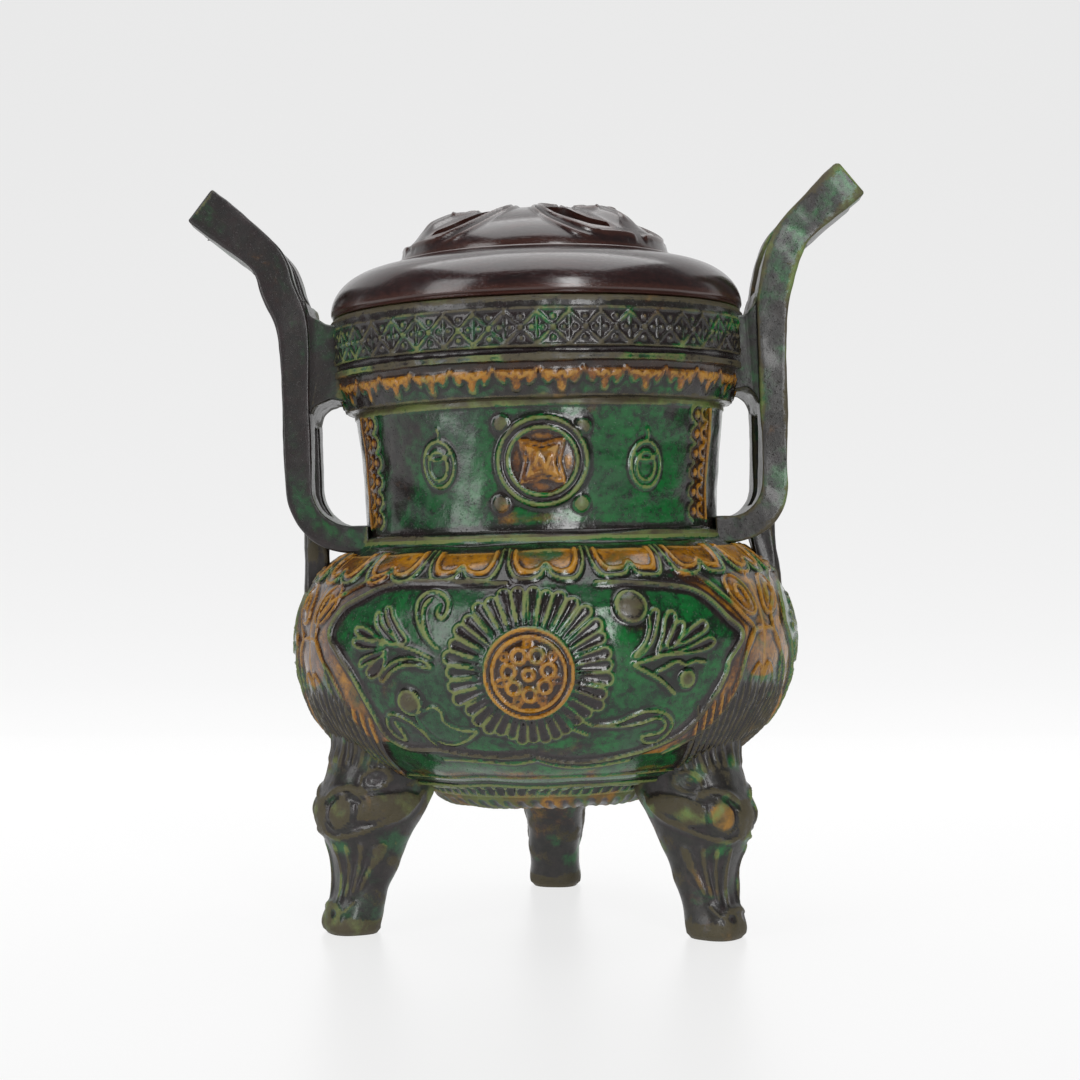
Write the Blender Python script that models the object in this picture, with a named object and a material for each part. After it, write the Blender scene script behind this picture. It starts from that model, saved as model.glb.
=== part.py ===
"""Tripod incense burner with a pierced lid.

One fired ceramic vessel: a round belly on three mask-headed legs, a broad neck,
a banded rim and two tall loop handles, all moulded and luted together, hollow
inside. A turned and pierced hardwood lid rests on the rim and lifts off.

Metres, +Z up. The front faces -Y. Azimuths are degrees from the front,
positive towards +X. The fired vessel leans a little towards -X on its feet.
"""
import math

import bmesh
import bpy
from mathutils import Matrix, Vector
from mathutils.geometry import delaunay_2d_cdt

# Belly, an oval turned form made of a lower and an upper elliptical arc
BELLY_RADIUS = 0.0889
BELLY_MID_Z = 0.0993
BELLY_LOWER_REACH = 0.0489
BELLY_LOWER_DROP = 0.0487
BELLY_LOWER_END = -84.0
BELLY_UPPER_REACH = 0.0389
BELLY_UPPER_RISE = 0.0370
BELLY_NECK_STEP = 0.00132
BELLY_FOOT_DROP = 0.0035
BELLY_FOOT_STEP = 0.0030
BELLY_BOTTOM_DROP = 0.0058

# Neck and the bead at its foot
NECK_RADIUS = 0.0623
NECK_FLARE = 0.0033
NECK_BEAD = 0.0022
NECK_FOOT_Z = 0.1375
NECK_TOP_Z = 0.1805

# Rim: lappet band, fillet, fret band and lip
RIM_RADIUS = 0.0735
RIM_UNDER_STEP = 0.0045
LAPPET_BAND_HEIGHT = 0.0112
FILLET_HEIGHT = 0.0035
GROOVE_HEIGHT = 0.0016
FRET_BAND_HEIGHT = 0.0124
LIP_HEIGHT = 0.0045
LIP_CHAMFER = 0.0010

# Hollow
WALL = 0.0055
BOTTOM_WALL = 0.0060
MOUTH_RADIUS = 0.0645
MOUTH_DEPTH = 0.0160
TURNED_SIDES = 32
HOLLOW_SIDES = 28

# The lean of the fired vessel on its level feet
LEAN = 1.6
LEAN_PIVOT_Z = 0.150

# Legs
LEG_INSET = 0.0173
LEG_CIRCLE = BELLY_RADIUS - LEG_INSET
LEG_AZIMUTHS = (-64.5, 55.5, 175.5)
LEG_SIDES = 10
FOOT_WIDTH = 0.0200
FOOT_DEPTH = 0.0190

# Handles, each a strap that bends outward, with a slot along it
HANDLE_DEPTH = 0.0430
HANDLE_BAR_DEPTH = 0.0130
HANDLE_THICK = 0.0100
HANDLE_TIP_THICK = 0.0130
HANDLE_CHAMFER = 0.0018
HANDLE_TIP_SLAB = 0.0270
HANDLE_FOOT_RADIUS = 0.0660
HANDLE_FOOT_Z = 0.1365
HANDLE_BRIDGE_LOW = 0.1860
HANDLE_BRIDGE_HIGH = 0.2085
STRUT_DEPTH = 0.0110

# Relief
RIM_LAPPETS = 30
FRET_UNITS = 44
SHOULDER_LAPPETS = 18
SHOULDER_START = 0.5
SEAM = LEG_AZIMUTHS[0]
PANEL_SHIFT = 1.0
GRID_MARGIN = 0.0018
FLAT_ANGLE = 1.2
PETALS = 20
REAR_PETALS = 14
SEEDS = 7
FINGERS = 5
REAR_FINGERS = 4
FLOWER_AZIMUTH_SHIFT = -0.3
FLOWER_Z = BELLY_MID_Z - 0.0073
FLOWER_DISC = 0.0142
PETAL_START = 0.0166
PETAL_END = 0.0276
PETAL_SIDE_GAIN = 0.0008
PETAL_LOW_LOSS = 0.0034

# Lid
LID_CLEARANCE = 0.0003
LID_FLANGE_CLEARANCE = 0.0012
LID_FLANGE_DEPTH = 0.0070
LID_RADIUS = 0.0732
LID_TORUS_HEIGHT = 0.0160
LID_LEDGE_RADIUS = 0.0500
LID_LEDGE_RISE = 0.0040
LID_DOME_RADIUS = 0.0483
LID_DOME_HEIGHT = 0.0205
LID_WALL = 0.0060
LID_SIDES = 30
LID_HEADS = (51.0, 171.0, -69.0)


def polar(azimuth, radius, z):
    """World point from an azimuth off the front, a radius and a height."""
    angle = math.radians(azimuth)
    return Vector((radius * math.sin(angle), -radius * math.cos(angle), z))


def elliptic(centre_r, centre_z, reach_r, reach_z, start, end, steps):
    """Points (radius, height) along an elliptical arc, angles in degrees."""
    points = []
    for i in range(steps + 1):
        t = math.radians(start + (end - start) * i / steps)
        points.append((centre_r + reach_r * math.cos(t), centre_z + reach_z * math.sin(t)))
    return points


def belly_upper_end():
    """Angle at which the upper arc meets the bead at the foot of the neck, in degrees."""
    reach = NECK_RADIUS + NECK_BEAD + BELLY_NECK_STEP - (BELLY_RADIUS - BELLY_UPPER_REACH)
    return math.degrees(math.acos(reach / BELLY_UPPER_REACH))


def belly_arcs(inset, lower_steps, upper_steps):
    """The belly's two arcs from low to high, inset from the outer wall."""
    lower = elliptic(BELLY_RADIUS - BELLY_LOWER_REACH, BELLY_MID_Z, BELLY_LOWER_REACH - inset,
                     BELLY_LOWER_DROP - inset, BELLY_LOWER_END, 0.0, lower_steps)
    upper = elliptic(BELLY_RADIUS - BELLY_UPPER_REACH, BELLY_MID_Z, BELLY_UPPER_REACH - inset,
                     BELLY_UPPER_RISE - inset, 0.0, belly_upper_end(), upper_steps)
    return lower + upper[1:]


def rim_levels():
    """Heights of the rim's steps, from its underside to its lip."""
    under = NECK_TOP_Z
    lappet_top = under + LAPPET_BAND_HEIGHT
    fillet_top = lappet_top + FILLET_HEIGHT
    groove_top = fillet_top + GROOVE_HEIGHT
    fret_top = groove_top + FRET_BAND_HEIGHT
    return under, lappet_top, fillet_top, groove_top, fret_top, fret_top + LIP_HEIGHT


def outer_profile():
    """The outer wall from the belly's underside to the lip."""
    arcs = belly_arcs(0.0, 6, 5)
    foot_r, foot_z = arcs[0]
    under, lappet_top, fillet_top, groove_top, fret_top, lip_top = rim_levels()
    points = [(foot_r - BELLY_FOOT_STEP, foot_z - BELLY_FOOT_DROP)]
    points += arcs
    bead_r = NECK_RADIUS + NECK_BEAD
    points += [(bead_r, NECK_FOOT_Z - NECK_BEAD), (NECK_RADIUS, NECK_FOOT_Z)]
    steps = 2
    for i in range(1, steps + 1):
        share = i / steps
        height = NECK_FOOT_Z + (NECK_TOP_Z - NECK_FOOT_Z) * share
        points.append((NECK_RADIUS + NECK_FLARE * share ** 1.6, height))
    points += [
        (RIM_RADIUS - RIM_UNDER_STEP, under + 0.0004),
        (RIM_RADIUS - 0.0012, lappet_top),
        (RIM_RADIUS + 0.0002, lappet_top + 0.0008),
        (RIM_RADIUS - 0.0012, fillet_top + 0.0006),
        (RIM_RADIUS, groove_top),
        (RIM_RADIUS, fret_top),
        (RIM_RADIUS, lip_top - LIP_CHAMFER),
        (RIM_RADIUS - LIP_CHAMFER, lip_top),
    ]
    return points


def cavity_profile():
    """The hollow, from its floor up through the open mouth."""
    lip_top = rim_levels()[-1]
    arcs = belly_arcs(WALL, 4, 3)
    neck = NECK_RADIUS - WALL
    floor_z = belly_arcs(0.0, 1, 1)[0][1] - BELLY_FOOT_DROP - BELLY_BOTTOM_DROP + BOTTOM_WALL
    points = [(0.0, floor_z), (arcs[0][0] - 0.012, floor_z + 0.0015)]
    points += [p for p in arcs if p[1] < BELLY_MID_Z or p[0] > neck]
    points += [(neck, NECK_FOOT_Z - 0.002), (neck + NECK_FLARE, NECK_TOP_Z - 0.004),
               (MOUTH_RADIUS, lip_top - MOUTH_DEPTH), (MOUTH_RADIUS, lip_top + 0.010),
               (0.0, lip_top + 0.010)]
    return points


def wall_at(z):
    """Outer radius and unit normal (radial, upward) of the wall at one height."""
    points = outer_profile()
    for (r0, z0), (r1, z1) in zip(points, points[1:]):
        if z0 <= z <= z1 and z1 > z0:
            share = (z - z0) / (z1 - z0)
            length = math.hypot(r1 - r0, z1 - z0)
            return r0 + (r1 - r0) * share, (z1 - z0) / length, -(r1 - r0) / length
    raise ValueError("height off the outer wall")


def on_wall(azimuth, z, lift):
    """Point over the outer wall, lifted along the wall's normal."""
    radius, out, up = wall_at(z)
    return polar(azimuth, radius + out * lift, z + up * lift)


def closed(mesh_data):
    """Give a closed bmesh outward faces."""
    bmesh.ops.remove_doubles(mesh_data, verts=mesh_data.verts, dist=0.00001)
    bmesh.ops.recalc_face_normals(mesh_data, faces=mesh_data.faces)
    return mesh_data


def turned(profile, sides):
    """Closed solid of revolution from (radius, height) points between two axis points."""
    bm = bmesh.new()
    rings = []
    for radius, z in profile:
        if radius < 1e-6:
            rings.append([bm.verts.new((0.0, 0.0, z))])
            continue
        rings.append([bm.verts.new(polar(360.0 * i / sides, radius, z)) for i in range(sides)])
    for low, high in zip(rings, rings[1:]):
        for i in range(sides):
            j = (i + 1) % sides
            corners = [low[i % len(low)], low[j % len(low)], high[j % len(high)], high[i % len(high)]]
            bm.faces.new(list(dict.fromkeys(corners)))
    return closed(bm)


def loft(rings):
    """Closed solid through rings of points, each ring with as many points."""
    bm = bmesh.new()
    loops = [[bm.verts.new(p) for p in ring] for ring in rings]
    count = len(loops[0])
    for low, high in zip(loops, loops[1:]):
        for i in range(count):
            j = (i + 1) % count
            bm.faces.new((low[i], low[j], high[j], high[i]))
    bm.faces.new(list(reversed(loops[0])))
    bm.faces.new(loops[-1])
    return closed(bm)


def boss(outline, centre, lift, edge_lift, inset=0.86):
    """A raised pad on the wall: an outline of (azimuth, z) and a domed or dished middle."""
    count = len(outline)
    points = [(a, z, 0.0) for a, z in outline]
    points += [(centre[0] + (a - centre[0]) * inset, centre[1] + (z - centre[1]) * inset, edge_lift)
               for a, z in outline]
    points.append((centre[0], centre[1], lift))
    edges = [(i, (i + 1) % count) for i in range(count)]
    edges += [(count + i, count + (i + 1) % count) for i in range(count)]
    return points, edges, [list(outline)]


def stud(outline, centre, lift):
    """A small raised pyramid on the wall over an outline of (azimuth, z)."""
    count = len(outline)
    points = [(a, z, 0.0) for a, z in outline] + [(centre[0], centre[1], lift)]
    edges = [(i, (i + 1) % count) for i in range(count)] + [(i, count) for i in range(count)]
    return points, edges, [list(outline)]


def arc_degrees(z):
    """Degrees of azimuth in one metre along the wall at one height."""
    return math.degrees(1.0 / wall_at(z)[0])


def ridge(path, widths, lift, ring=False):
    """A raised bead with a three-sided section along (azimuth, z) points."""
    points, edges, footprints = [], [], []
    count = len(path)
    for i, (azimuth, z) in enumerate(path):
        before = path[i - 1] if (ring or i > 0) else path[i]
        after = path[(i + 1) % count] if (ring or i < count - 1) else path[i]
        scale = arc_degrees(z)
        along = Vector(((after[0] - before[0]) / scale, after[1] - before[1]))
        along.normalize()
        width = widths[i] if isinstance(widths, (list, tuple)) else widths
        side_a = along.y * width / 2.0 * scale
        side_z = -along.x * width / 2.0
        points += [(azimuth - side_a, z - side_z, 0.0), (azimuth, z, lift), (azimuth + side_a, z + side_z, 0.0)]
    for i in range(count if ring else count - 1):
        here, there = 3 * i, 3 * ((i + 1) % count)
        edges += [(here, there), (here + 1, there + 1), (here + 2, there + 2)]
        footprints.append([points[here][:2], points[there][:2], points[there + 2][:2], points[here + 2][:2]])
    if not ring:
        last = 3 * (count - 1)
        edges += [(0, 1), (1, 2), (last, last + 1), (last + 1, last + 2)]
    return points, edges, footprints


def round_outline(azimuth, z, radius, sides, stretch=1.0, turn=0.0):
    """A circle or oval on the wall, as (azimuth, z) points."""
    scale = arc_degrees(z)
    points = []
    for i in range(sides):
        t = 2.0 * math.pi * i / sides + math.radians(turn)
        points.append((azimuth + radius * math.cos(t) * scale, z + radius * stretch * math.sin(t)))
    return points


# Leg form: height, inner and outer reach off the leg circle and width, in millimetres
LEG_FORM = (
    (78.0, -17.0, 9.5, 36.0),
    (65.0, -27.0, 5.5, 33.0),
    (55.0, -30.0, 8.0, 30.0),
    (47.5, -29.0, 11.5, 28.5),
    (41.5, -25.5, 12.9, 27.0),
    (33.5, -20.5, 10.5, 24.0),
    (25.0, -16.5, 7.2, 21.0),
    (16.5, -12.8, 6.2, 19.4),
    (9.0, -10.0, 8.2, 19.6),
    (3.5, -9.2, 10.2, FOOT_WIDTH * 1000.0),
    (0.0, -9.0, FOOT_DEPTH * 1000.0 - 9.0, FOOT_WIDTH * 1000.0 - 1.0),
)

# Handle tops, outward and upward from the bar's centre at the lip, in millimetres
LEFT_HANDLE = (-1.0, 0.0109, ((0.6, -2.8), (5.1, 9.8), (8.8, 20.2), (17.8, 29.3), (32.0, 40.9)))
RIGHT_HANDLE = (1.0, 0.0081, ((0.6, -1.9), (2.7, 10.2), (5.8, 19.8), (11.3, 28.4), (29.5, 44.1)))


def leg_point(azimuth, reach, across, z):
    """Point on a leg from its reach off the leg circle and its place across it."""
    angle = math.radians(azimuth)
    tangent = Vector((math.cos(angle), math.sin(angle), 0.0))
    return polar(azimuth, LEG_CIRCLE + reach, z) + tangent * across


def leg_limb(azimuth):
    """The limb from its root in the belly wall to its flat foot."""
    rings = []
    for z, inner, outer, width in LEG_FORM:
        ring = []
        for i in range(LEG_SIDES):
            t = 2.0 * math.pi * (i + 0.5) / LEG_SIDES
            across = math.copysign(abs(math.sin(t)) ** 0.75, math.sin(t)) * width / 2.0
            along = math.copysign(abs(math.cos(t)) ** 0.75, math.cos(t))
            reach = (inner + outer) / 2.0 + along * (outer - inner) / 2.0
            ring.append(leg_point(azimuth, reach / 1000.0, across / 1000.0, z / 1000.0))
        rings.append(ring)
    return loft(rings)


def bead(centre, radius, stretch=(1.0, 1.0, 1.0)):
    """A small rounded lump."""
    bm = bmesh.new()
    bmesh.ops.create_uvsphere(bm, u_segments=6, v_segments=4, radius=radius)
    bmesh.ops.scale(bm, vec=stretch, verts=bm.verts)
    bmesh.ops.translate(bm, vec=centre, verts=bm.verts)
    return closed(bm)


def rib(points, widths, outward, height):
    """A raised rib with a three-sided section, standing out along one direction."""
    rings = []
    for i, point in enumerate(points):
        before = points[max(i - 1, 0)]
        after = points[min(i + 1, len(points) - 1)]
        side = (after - before).normalized().cross(outward).normalized()
        width = widths[i]
        rings.append([point - side * width / 2.0 - outward * height * 0.8,
                      point + side * width / 2.0 - outward * height * 0.8,
                      point + outward * height])
    return loft(rings)


def leg_mask(azimuth):
    """The beast's head on a leg: eyes, brows, temple whorls, snout folds and muzzle."""
    forms = []
    outward = polar(azimuth, 1.0, 0.0)
    angle = math.radians(azimuth)
    tangent = Vector((math.cos(angle), math.sin(angle), 0.0))
    for side in (-1.0, 1.0):
        forms.append(bead(leg_point(azimuth, 0.0080, side * 0.0092, 0.0425), 0.0046))
        brow = [leg_point(azimuth, 0.0108, side * 0.0030, 0.0455),
                leg_point(azimuth, 0.0098, side * 0.0085, 0.0492),
                leg_point(azimuth, 0.0035, side * 0.0128, 0.0482)]
        forms.append(rib(brow, (0.0050, 0.0060, 0.0040), (outward + tangent * side * 0.4).normalized(), 0.0024))
        temple = leg_point(azimuth, -0.0050, side * 0.0125, 0.0540)
        forms.append(bead(temple, 0.0048))
        fold = [leg_point(azimuth, 0.0098, side * 0.0046, 0.0370),
                leg_point(azimuth, 0.0060, side * 0.0046, 0.0240),
                leg_point(azimuth, 0.0066, side * 0.0046, 0.0115)]
        forms.append(rib(fold, (0.0040, 0.0034, 0.0026), outward, 0.0016))
    forms.append(bead(leg_point(azimuth, 0.0050, 0.0, 0.0052), 0.0052, (1.0, 1.0, 0.9)))
    return forms


def mane(azimuth):
    """Upright locks above a leg's forehead, on the belly's lower wall."""
    forms = []
    locks = 4
    for i in range(locks):
        shift = (i - (locks - 1) / 2.0) * 5.6
        low, high = BELLY_MID_Z - 0.0213, BELLY_MID_Z - 0.0033
        path = [(azimuth + shift, low), (azimuth + shift * 1.2, high)]
        forms.append(ridge(path, (0.0060, 0.0040), 0.0013))
    return forms


def handle_line(side_values):
    """Centre line of a handle, radius and height, from the neck's foot to the tip."""
    stand, top = side_values[1], side_values[2]
    bar = RIM_RADIUS + stand
    lip_top = rim_levels()[-1]
    bend = bar - HANDLE_FOOT_RADIUS
    points = []
    steps = 4
    for i in range(steps + 1):
        t = math.radians(90.0 * i / steps)
        points.append((HANDLE_FOOT_RADIUS + bend * math.sin(t), HANDLE_FOOT_Z + bend * (1.0 - math.cos(t))))
    points += [(bar + out / 1000.0, lip_top + rise / 1000.0) for out, rise in top]
    return [(HANDLE_FOOT_RADIUS - 0.0060, HANDLE_FOOT_Z)] + points


def line_normals(points):
    """Unit normals of an open line of (radius, height) points."""
    normals = []
    for i in range(len(points)):
        before = points[max(i - 1, 0)]
        after = points[min(i + 1, len(points) - 1)]
        length = math.hypot(after[0] - before[0], after[1] - before[1])
        normals.append((-(after[1] - before[1]) / length, (after[0] - before[0]) / length))
    return normals


def prism(outline, depth, side):
    """Slab of an (radius, height) outline, centred on the vessel's middle plane."""
    rings = [[Vector((side * r, y, z)) for r, z in outline] for y in (-depth / 2.0, depth / 2.0)]
    return loft(rings)


def handle_strap(side_values):
    """The strap of one handle at its full depth."""
    side = side_values[0]
    line = handle_line(side_values)
    half_depth = HANDLE_DEPTH / 2.0
    rings = []
    for i, ((r, z), (nr, nz)) in enumerate(zip(line, line_normals(line))):
        share = max(0.0, (i - 5) / (len(line) - 6))
        half = (HANDLE_THICK + (HANDLE_TIP_THICK - HANDLE_THICK) * share) / 2.0
        cut = HANDLE_CHAMFER
        corners = ((-half_depth, -half + cut), (-half_depth + cut, -half), (half_depth - cut, -half),
                   (half_depth, -half + cut), (half_depth, half - cut), (half_depth - cut, half),
                   (-half_depth + cut, half), (-half_depth, half - cut))
        rings.append([Vector((side * (r + nr * off), y, z + nz * off)) for y, off in corners])
    return loft(rings)


def handle_slot(side_values):
    """Cutter for the slot that parts a handle's front and rear bars."""
    line = handle_line(side_values)
    tip, before = line[-1], line[-2]
    length = math.hypot(tip[0] - before[0], tip[1] - before[1])
    along = ((tip[0] - before[0]) / length, (tip[1] - before[1]) / length)
    slab = (tip[0] - along[0] * HANDLE_TIP_SLAB, tip[1] - along[1] * HANDLE_TIP_SLAB)
    bar = RIM_RADIUS + side_values[1]
    reach = 0.025
    low = HANDLE_FOOT_Z + 0.0060
    outline = [(bar - reach, low), (bar + reach, low),
               (slab[0] + along[1] * reach, slab[1] - along[0] * reach),
               (slab[0] - along[1] * reach, slab[1] + along[0] * reach)]
    return prism(outline, HANDLE_DEPTH - 2.0 * HANDLE_BAR_DEPTH, side_values[0])


def handle_bridge(side_values):
    """The clay that lutes a handle to the rim."""
    bar = RIM_RADIUS + side_values[1]
    inner = MOUTH_RADIUS + WALL * 0.6
    outline = [(inner, HANDLE_BRIDGE_LOW), (bar, HANDLE_BRIDGE_LOW + 0.0020),
               (bar, HANDLE_BRIDGE_HIGH), (inner, HANDLE_BRIDGE_HIGH)]
    return prism(outline, HANDLE_DEPTH - 0.0030, side_values[0])


def handle_strut(side_values):
    """The web from a handle's lower bend down to the shoulder."""
    bar = RIM_RADIUS + side_values[1]
    top = HANDLE_FOOT_Z + 0.0060
    outline = [(bar - 0.0090, top - 0.0030), (bar + 0.0010, top + 0.0030),
               (BELLY_RADIUS - 0.0035, BELLY_MID_Z + 0.0140), (BELLY_RADIUS - 0.0130, BELLY_MID_Z + 0.0210)]
    return prism(outline, STRUT_DEPTH, side_values[0])


def rim_relief():
    """Pendant lappets under the fillet and a row of lozenges on the fret band."""
    under, lappet_top, _, groove_top, fret_top, _ = rim_levels()
    forms = []
    step = 360.0 / RIM_LAPPETS
    for k in range(RIM_LAPPETS):
        a = SEAM + (k + 0.5) * step
        low, high = under + 0.0026, lappet_top - 0.0014
        outline = [(a - step * 0.44, high), (a - step * 0.30, low + 0.0026), (a, low),
                   (a + step * 0.30, low + 0.0026), (a + step * 0.44, high)]
        forms.append(stud(outline, (a, (low + high) / 2.0 + 0.0008), 0.0014))
    step = 360.0 / FRET_UNITS
    middle = (groove_top + fret_top) / 2.0
    half = FRET_BAND_HEIGHT * 0.36
    for k in range(FRET_UNITS):
        a = SEAM + (k + 0.5) * step
        outline = [(a - step * 0.42, middle), (a, middle - half), (a + step * 0.42, middle), (a, middle + half)]
        forms.append(stud(outline, (a, middle), 0.0012))
    return forms


def off_legs(azimuth):
    """Smallest turn from an azimuth to a leg, in degrees."""
    return min(abs((azimuth - leg + 180.0) % 360.0 - 180.0) for leg in LEG_AZIMUTHS)


def shoulder_relief():
    """The collar of double-lobed lappets and a scroll over each leg."""
    forms = []
    top = NECK_FOOT_Z - 0.0070
    half = 360.0 / SHOULDER_LAPPETS * 0.44
    for k in range(SHOULDER_LAPPETS):
        a = SHOULDER_START + k * 360.0 / SHOULDER_LAPPETS
        if off_legs(a) < 11.0:
            continue
        outline = [(a - half, top), (a - half * 0.72, top - 0.0090), (a, top - 0.0068),
                   (a + half * 0.72, top - 0.0090), (a + half, top)]
        forms.append(boss(outline, (a, top - 0.0040), 0.0012, 0.0013))
    for leg in LEG_AZIMUTHS:
        for side in (-1.0, 1.0):
            path = []
            for turn, reach in ((-150.0, 0.0085), (-95.0, 0.0066), (-40.0, 0.0054), (20.0, 0.0048), (80.0, 0.0038)):
                t = math.radians(turn)
                z = BELLY_MID_Z + 0.0165 + reach * math.sin(t)
                across = 0.0085 - reach * math.cos(t)
                path.append((leg + side * across * arc_degrees(z), z))
            forms.append(ridge(path, 0.0036, 0.0015))
    return forms


def cartouche(centre):
    """The raised ogee border of one belly panel."""
    half = ((12.0, 0.0205), (25.0, 0.0185), (36.0, 0.0130), (45.0, 0.0070), (52.0, 0.0035), (46.5, -0.0035),
            (40.5, -0.0130), (34.0, -0.0235), (28.5, -0.0335), (15.0, -0.0372))
    right = [(centre + a, BELLY_MID_Z + rise) for a, rise in half]
    left = [(centre - a, BELLY_MID_Z + rise) for a, rise in reversed(half)]
    path = [(centre, BELLY_MID_Z + 0.0195)] + right + [(centre, BELLY_MID_Z - 0.0350)] + left
    return ridge(path, 0.0066, 0.0017, ring=True)


def flower(centre, petal_count, seed_count):
    """A disc with a raised rim, its seeds and its ring of radiating petals."""
    a0 = centre + FLOWER_AZIMUTH_SHIFT
    disc = [boss(round_outline(a0, FLOWER_Z, FLOWER_DISC, 10), (a0, FLOWER_Z), 0.0010, 0.0024)]
    orbit = FLOWER_DISC * 0.50
    seed = FLOWER_DISC * 0.20
    for k in range(seed_count):
        t = 2.0 * math.pi * (k + 0.25) / seed_count
        z = FLOWER_Z + orbit * math.sin(t)
        a = a0 + orbit * math.cos(t) * arc_degrees(FLOWER_Z)
        disc.append(stud(round_outline(a, z, seed, 4), (a, z), 0.0030))
    petals = []
    scale = arc_degrees(FLOWER_Z)
    for k in range(petal_count):
        t = 2.0 * math.pi * (k + 0.5) / petal_count
        outer = PETAL_END + PETAL_SIDE_GAIN * abs(math.cos(t)) - PETAL_LOW_LOSS * max(0.0, -math.sin(t))
        path = [(a0 + reach * math.cos(t) * scale, FLOWER_Z + reach * math.sin(t))
                for reach in (PETAL_START, outer)]
        spread = 2.0 * math.pi * outer / petal_count * 0.86
        petals.append(ridge(path, (spread * 0.46, spread), 0.0015))
    return disc + petals


def fan(azimuth, z, angles, length):
    """A palmette: ribs that fan out from one point of the wall."""
    forms = []
    scale = arc_degrees(z)
    for angle in angles:
        t = math.radians(angle)
        path = [(azimuth + reach * math.cos(t) * scale, z + reach * math.sin(t)) for reach in (0.002, length)]
        forms.append(ridge(path, (0.0040, 0.0072), 0.0014))
    return forms


def foliage(centre, fingers):
    """Palmettes, fruits and stems on both sides of a flower."""
    left, right = centre - 24.0, centre + 25.0
    sweep = [i / (fingers - 1.0) for i in range(fingers)]
    forms = fan(left, BELLY_MID_Z - 0.0070, [110.0 + 96.0 * share for share in sweep], 0.0210)
    forms += fan(right, BELLY_MID_Z - 0.0040, [78.0 - 102.0 * share for share in sweep], 0.0200)
    for a, rise, radius in ((centre + 21.7, 0.0131, 0.0052), (centre - 28.0, -0.0170, 0.0042)):
        z = BELLY_MID_Z + rise
        forms.append(boss(round_outline(a, z, radius, 7), (a, z), 0.0020, 0.0010))
    stems = (((-30.0, -0.0230), (-22.0, -0.0285), (-13.0, -0.0305), (-8.0, -0.0270)),
             ((31.0, -0.0180), (26.0, -0.0250), (18.0, -0.0300), (9.0, -0.0290)),
             ((-24.0, 0.0190), (-21.0, 0.0110), (-23.0, 0.0030)))
    for stem in stems:
        forms.append(ridge([(centre + a, BELLY_MID_Z + rise) for a, rise in stem], 0.0056, 0.0015))
    return forms


def neck_relief(azimuth, full):
    """A coin medallion and scalloped borders, and in front also four studs and two fruits."""
    middle = (NECK_FOOT_Z + NECK_TOP_Z) / 2.0 + 0.0012
    coin = [ridge(round_outline(azimuth, middle, 0.0146, 14), 0.0050, 0.0014, ring=True)]
    scale = arc_degrees(middle)
    star = []
    for i in range(8):
        t = math.pi * i / 4.0
        reach = 0.0060 if i % 2 else 0.0104
        t += math.pi / 4.0
        star.append((azimuth + reach * math.cos(t) * scale, middle + reach * math.sin(t)))
    amber = [boss(star, (azimuth, middle), 0.0018, 0.0010)]
    for side in (-1.0, 1.0):
        if full:
            for rise in (-0.0140, 0.0125):
                a, z = azimuth + side * 12.0, middle + rise
                coin.append(stud(round_outline(a, z, 0.0036, 6), (a, z), 0.0016))
            fruit = round_outline(azimuth + side * 32.5, middle, 0.0056, 8, 1.35)
            coin.append(ridge(fruit, 0.0034, 0.0010, ring=True))
        border = []
        for i in range(6):
            z = NECK_FOOT_Z + 0.0030 + (NECK_TOP_Z - NECK_FOOT_Z - 0.0060) * i / 5.0
            border.append((azimuth + side * (57.0 + 1.5 * (i % 2)), z))
        amber.append(ridge(border, 0.0090, 0.0012))
    return coin + amber


def wall_runs():
    """Heights of the outer profile's points and their running lengths along it."""
    points = outer_profile()
    runs = [0.0]
    for (r0, z0), (r1, z1) in zip(points, points[1:]):
        runs.append(runs[-1] + math.hypot(r1 - r0, z1 - z0))
    return [z for _, z in points], runs


def between(value, from_values, to_values):
    """Straight interpolation in a rising table."""
    for i in range(len(from_values) - 1):
        if value <= from_values[i + 1]:
            share = (value - from_values[i]) / (from_values[i + 1] - from_values[i])
            return to_values[i] + share * (to_values[i + 1] - to_values[i])
    return to_values[-1]


def close_to(point, polygon, margin):
    """Whether a flat point is inside a polygon or within a margin of its edges."""
    inside = False
    for a, b in zip(polygon, polygon[1:] + polygon[:1]):
        if (a.y > point.y) != (b.y > point.y):
            if point.x < a.x + (point.y - a.y) / (b.y - a.y) * (b.x - a.x):
                inside = not inside
        edge = b - a
        share = max(0.0, min(1.0, (point - a).dot(edge) / max(edge.length_squared, 1e-12)))
        if (a + edge * share - point).length < margin:
            return True
    return inside


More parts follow.
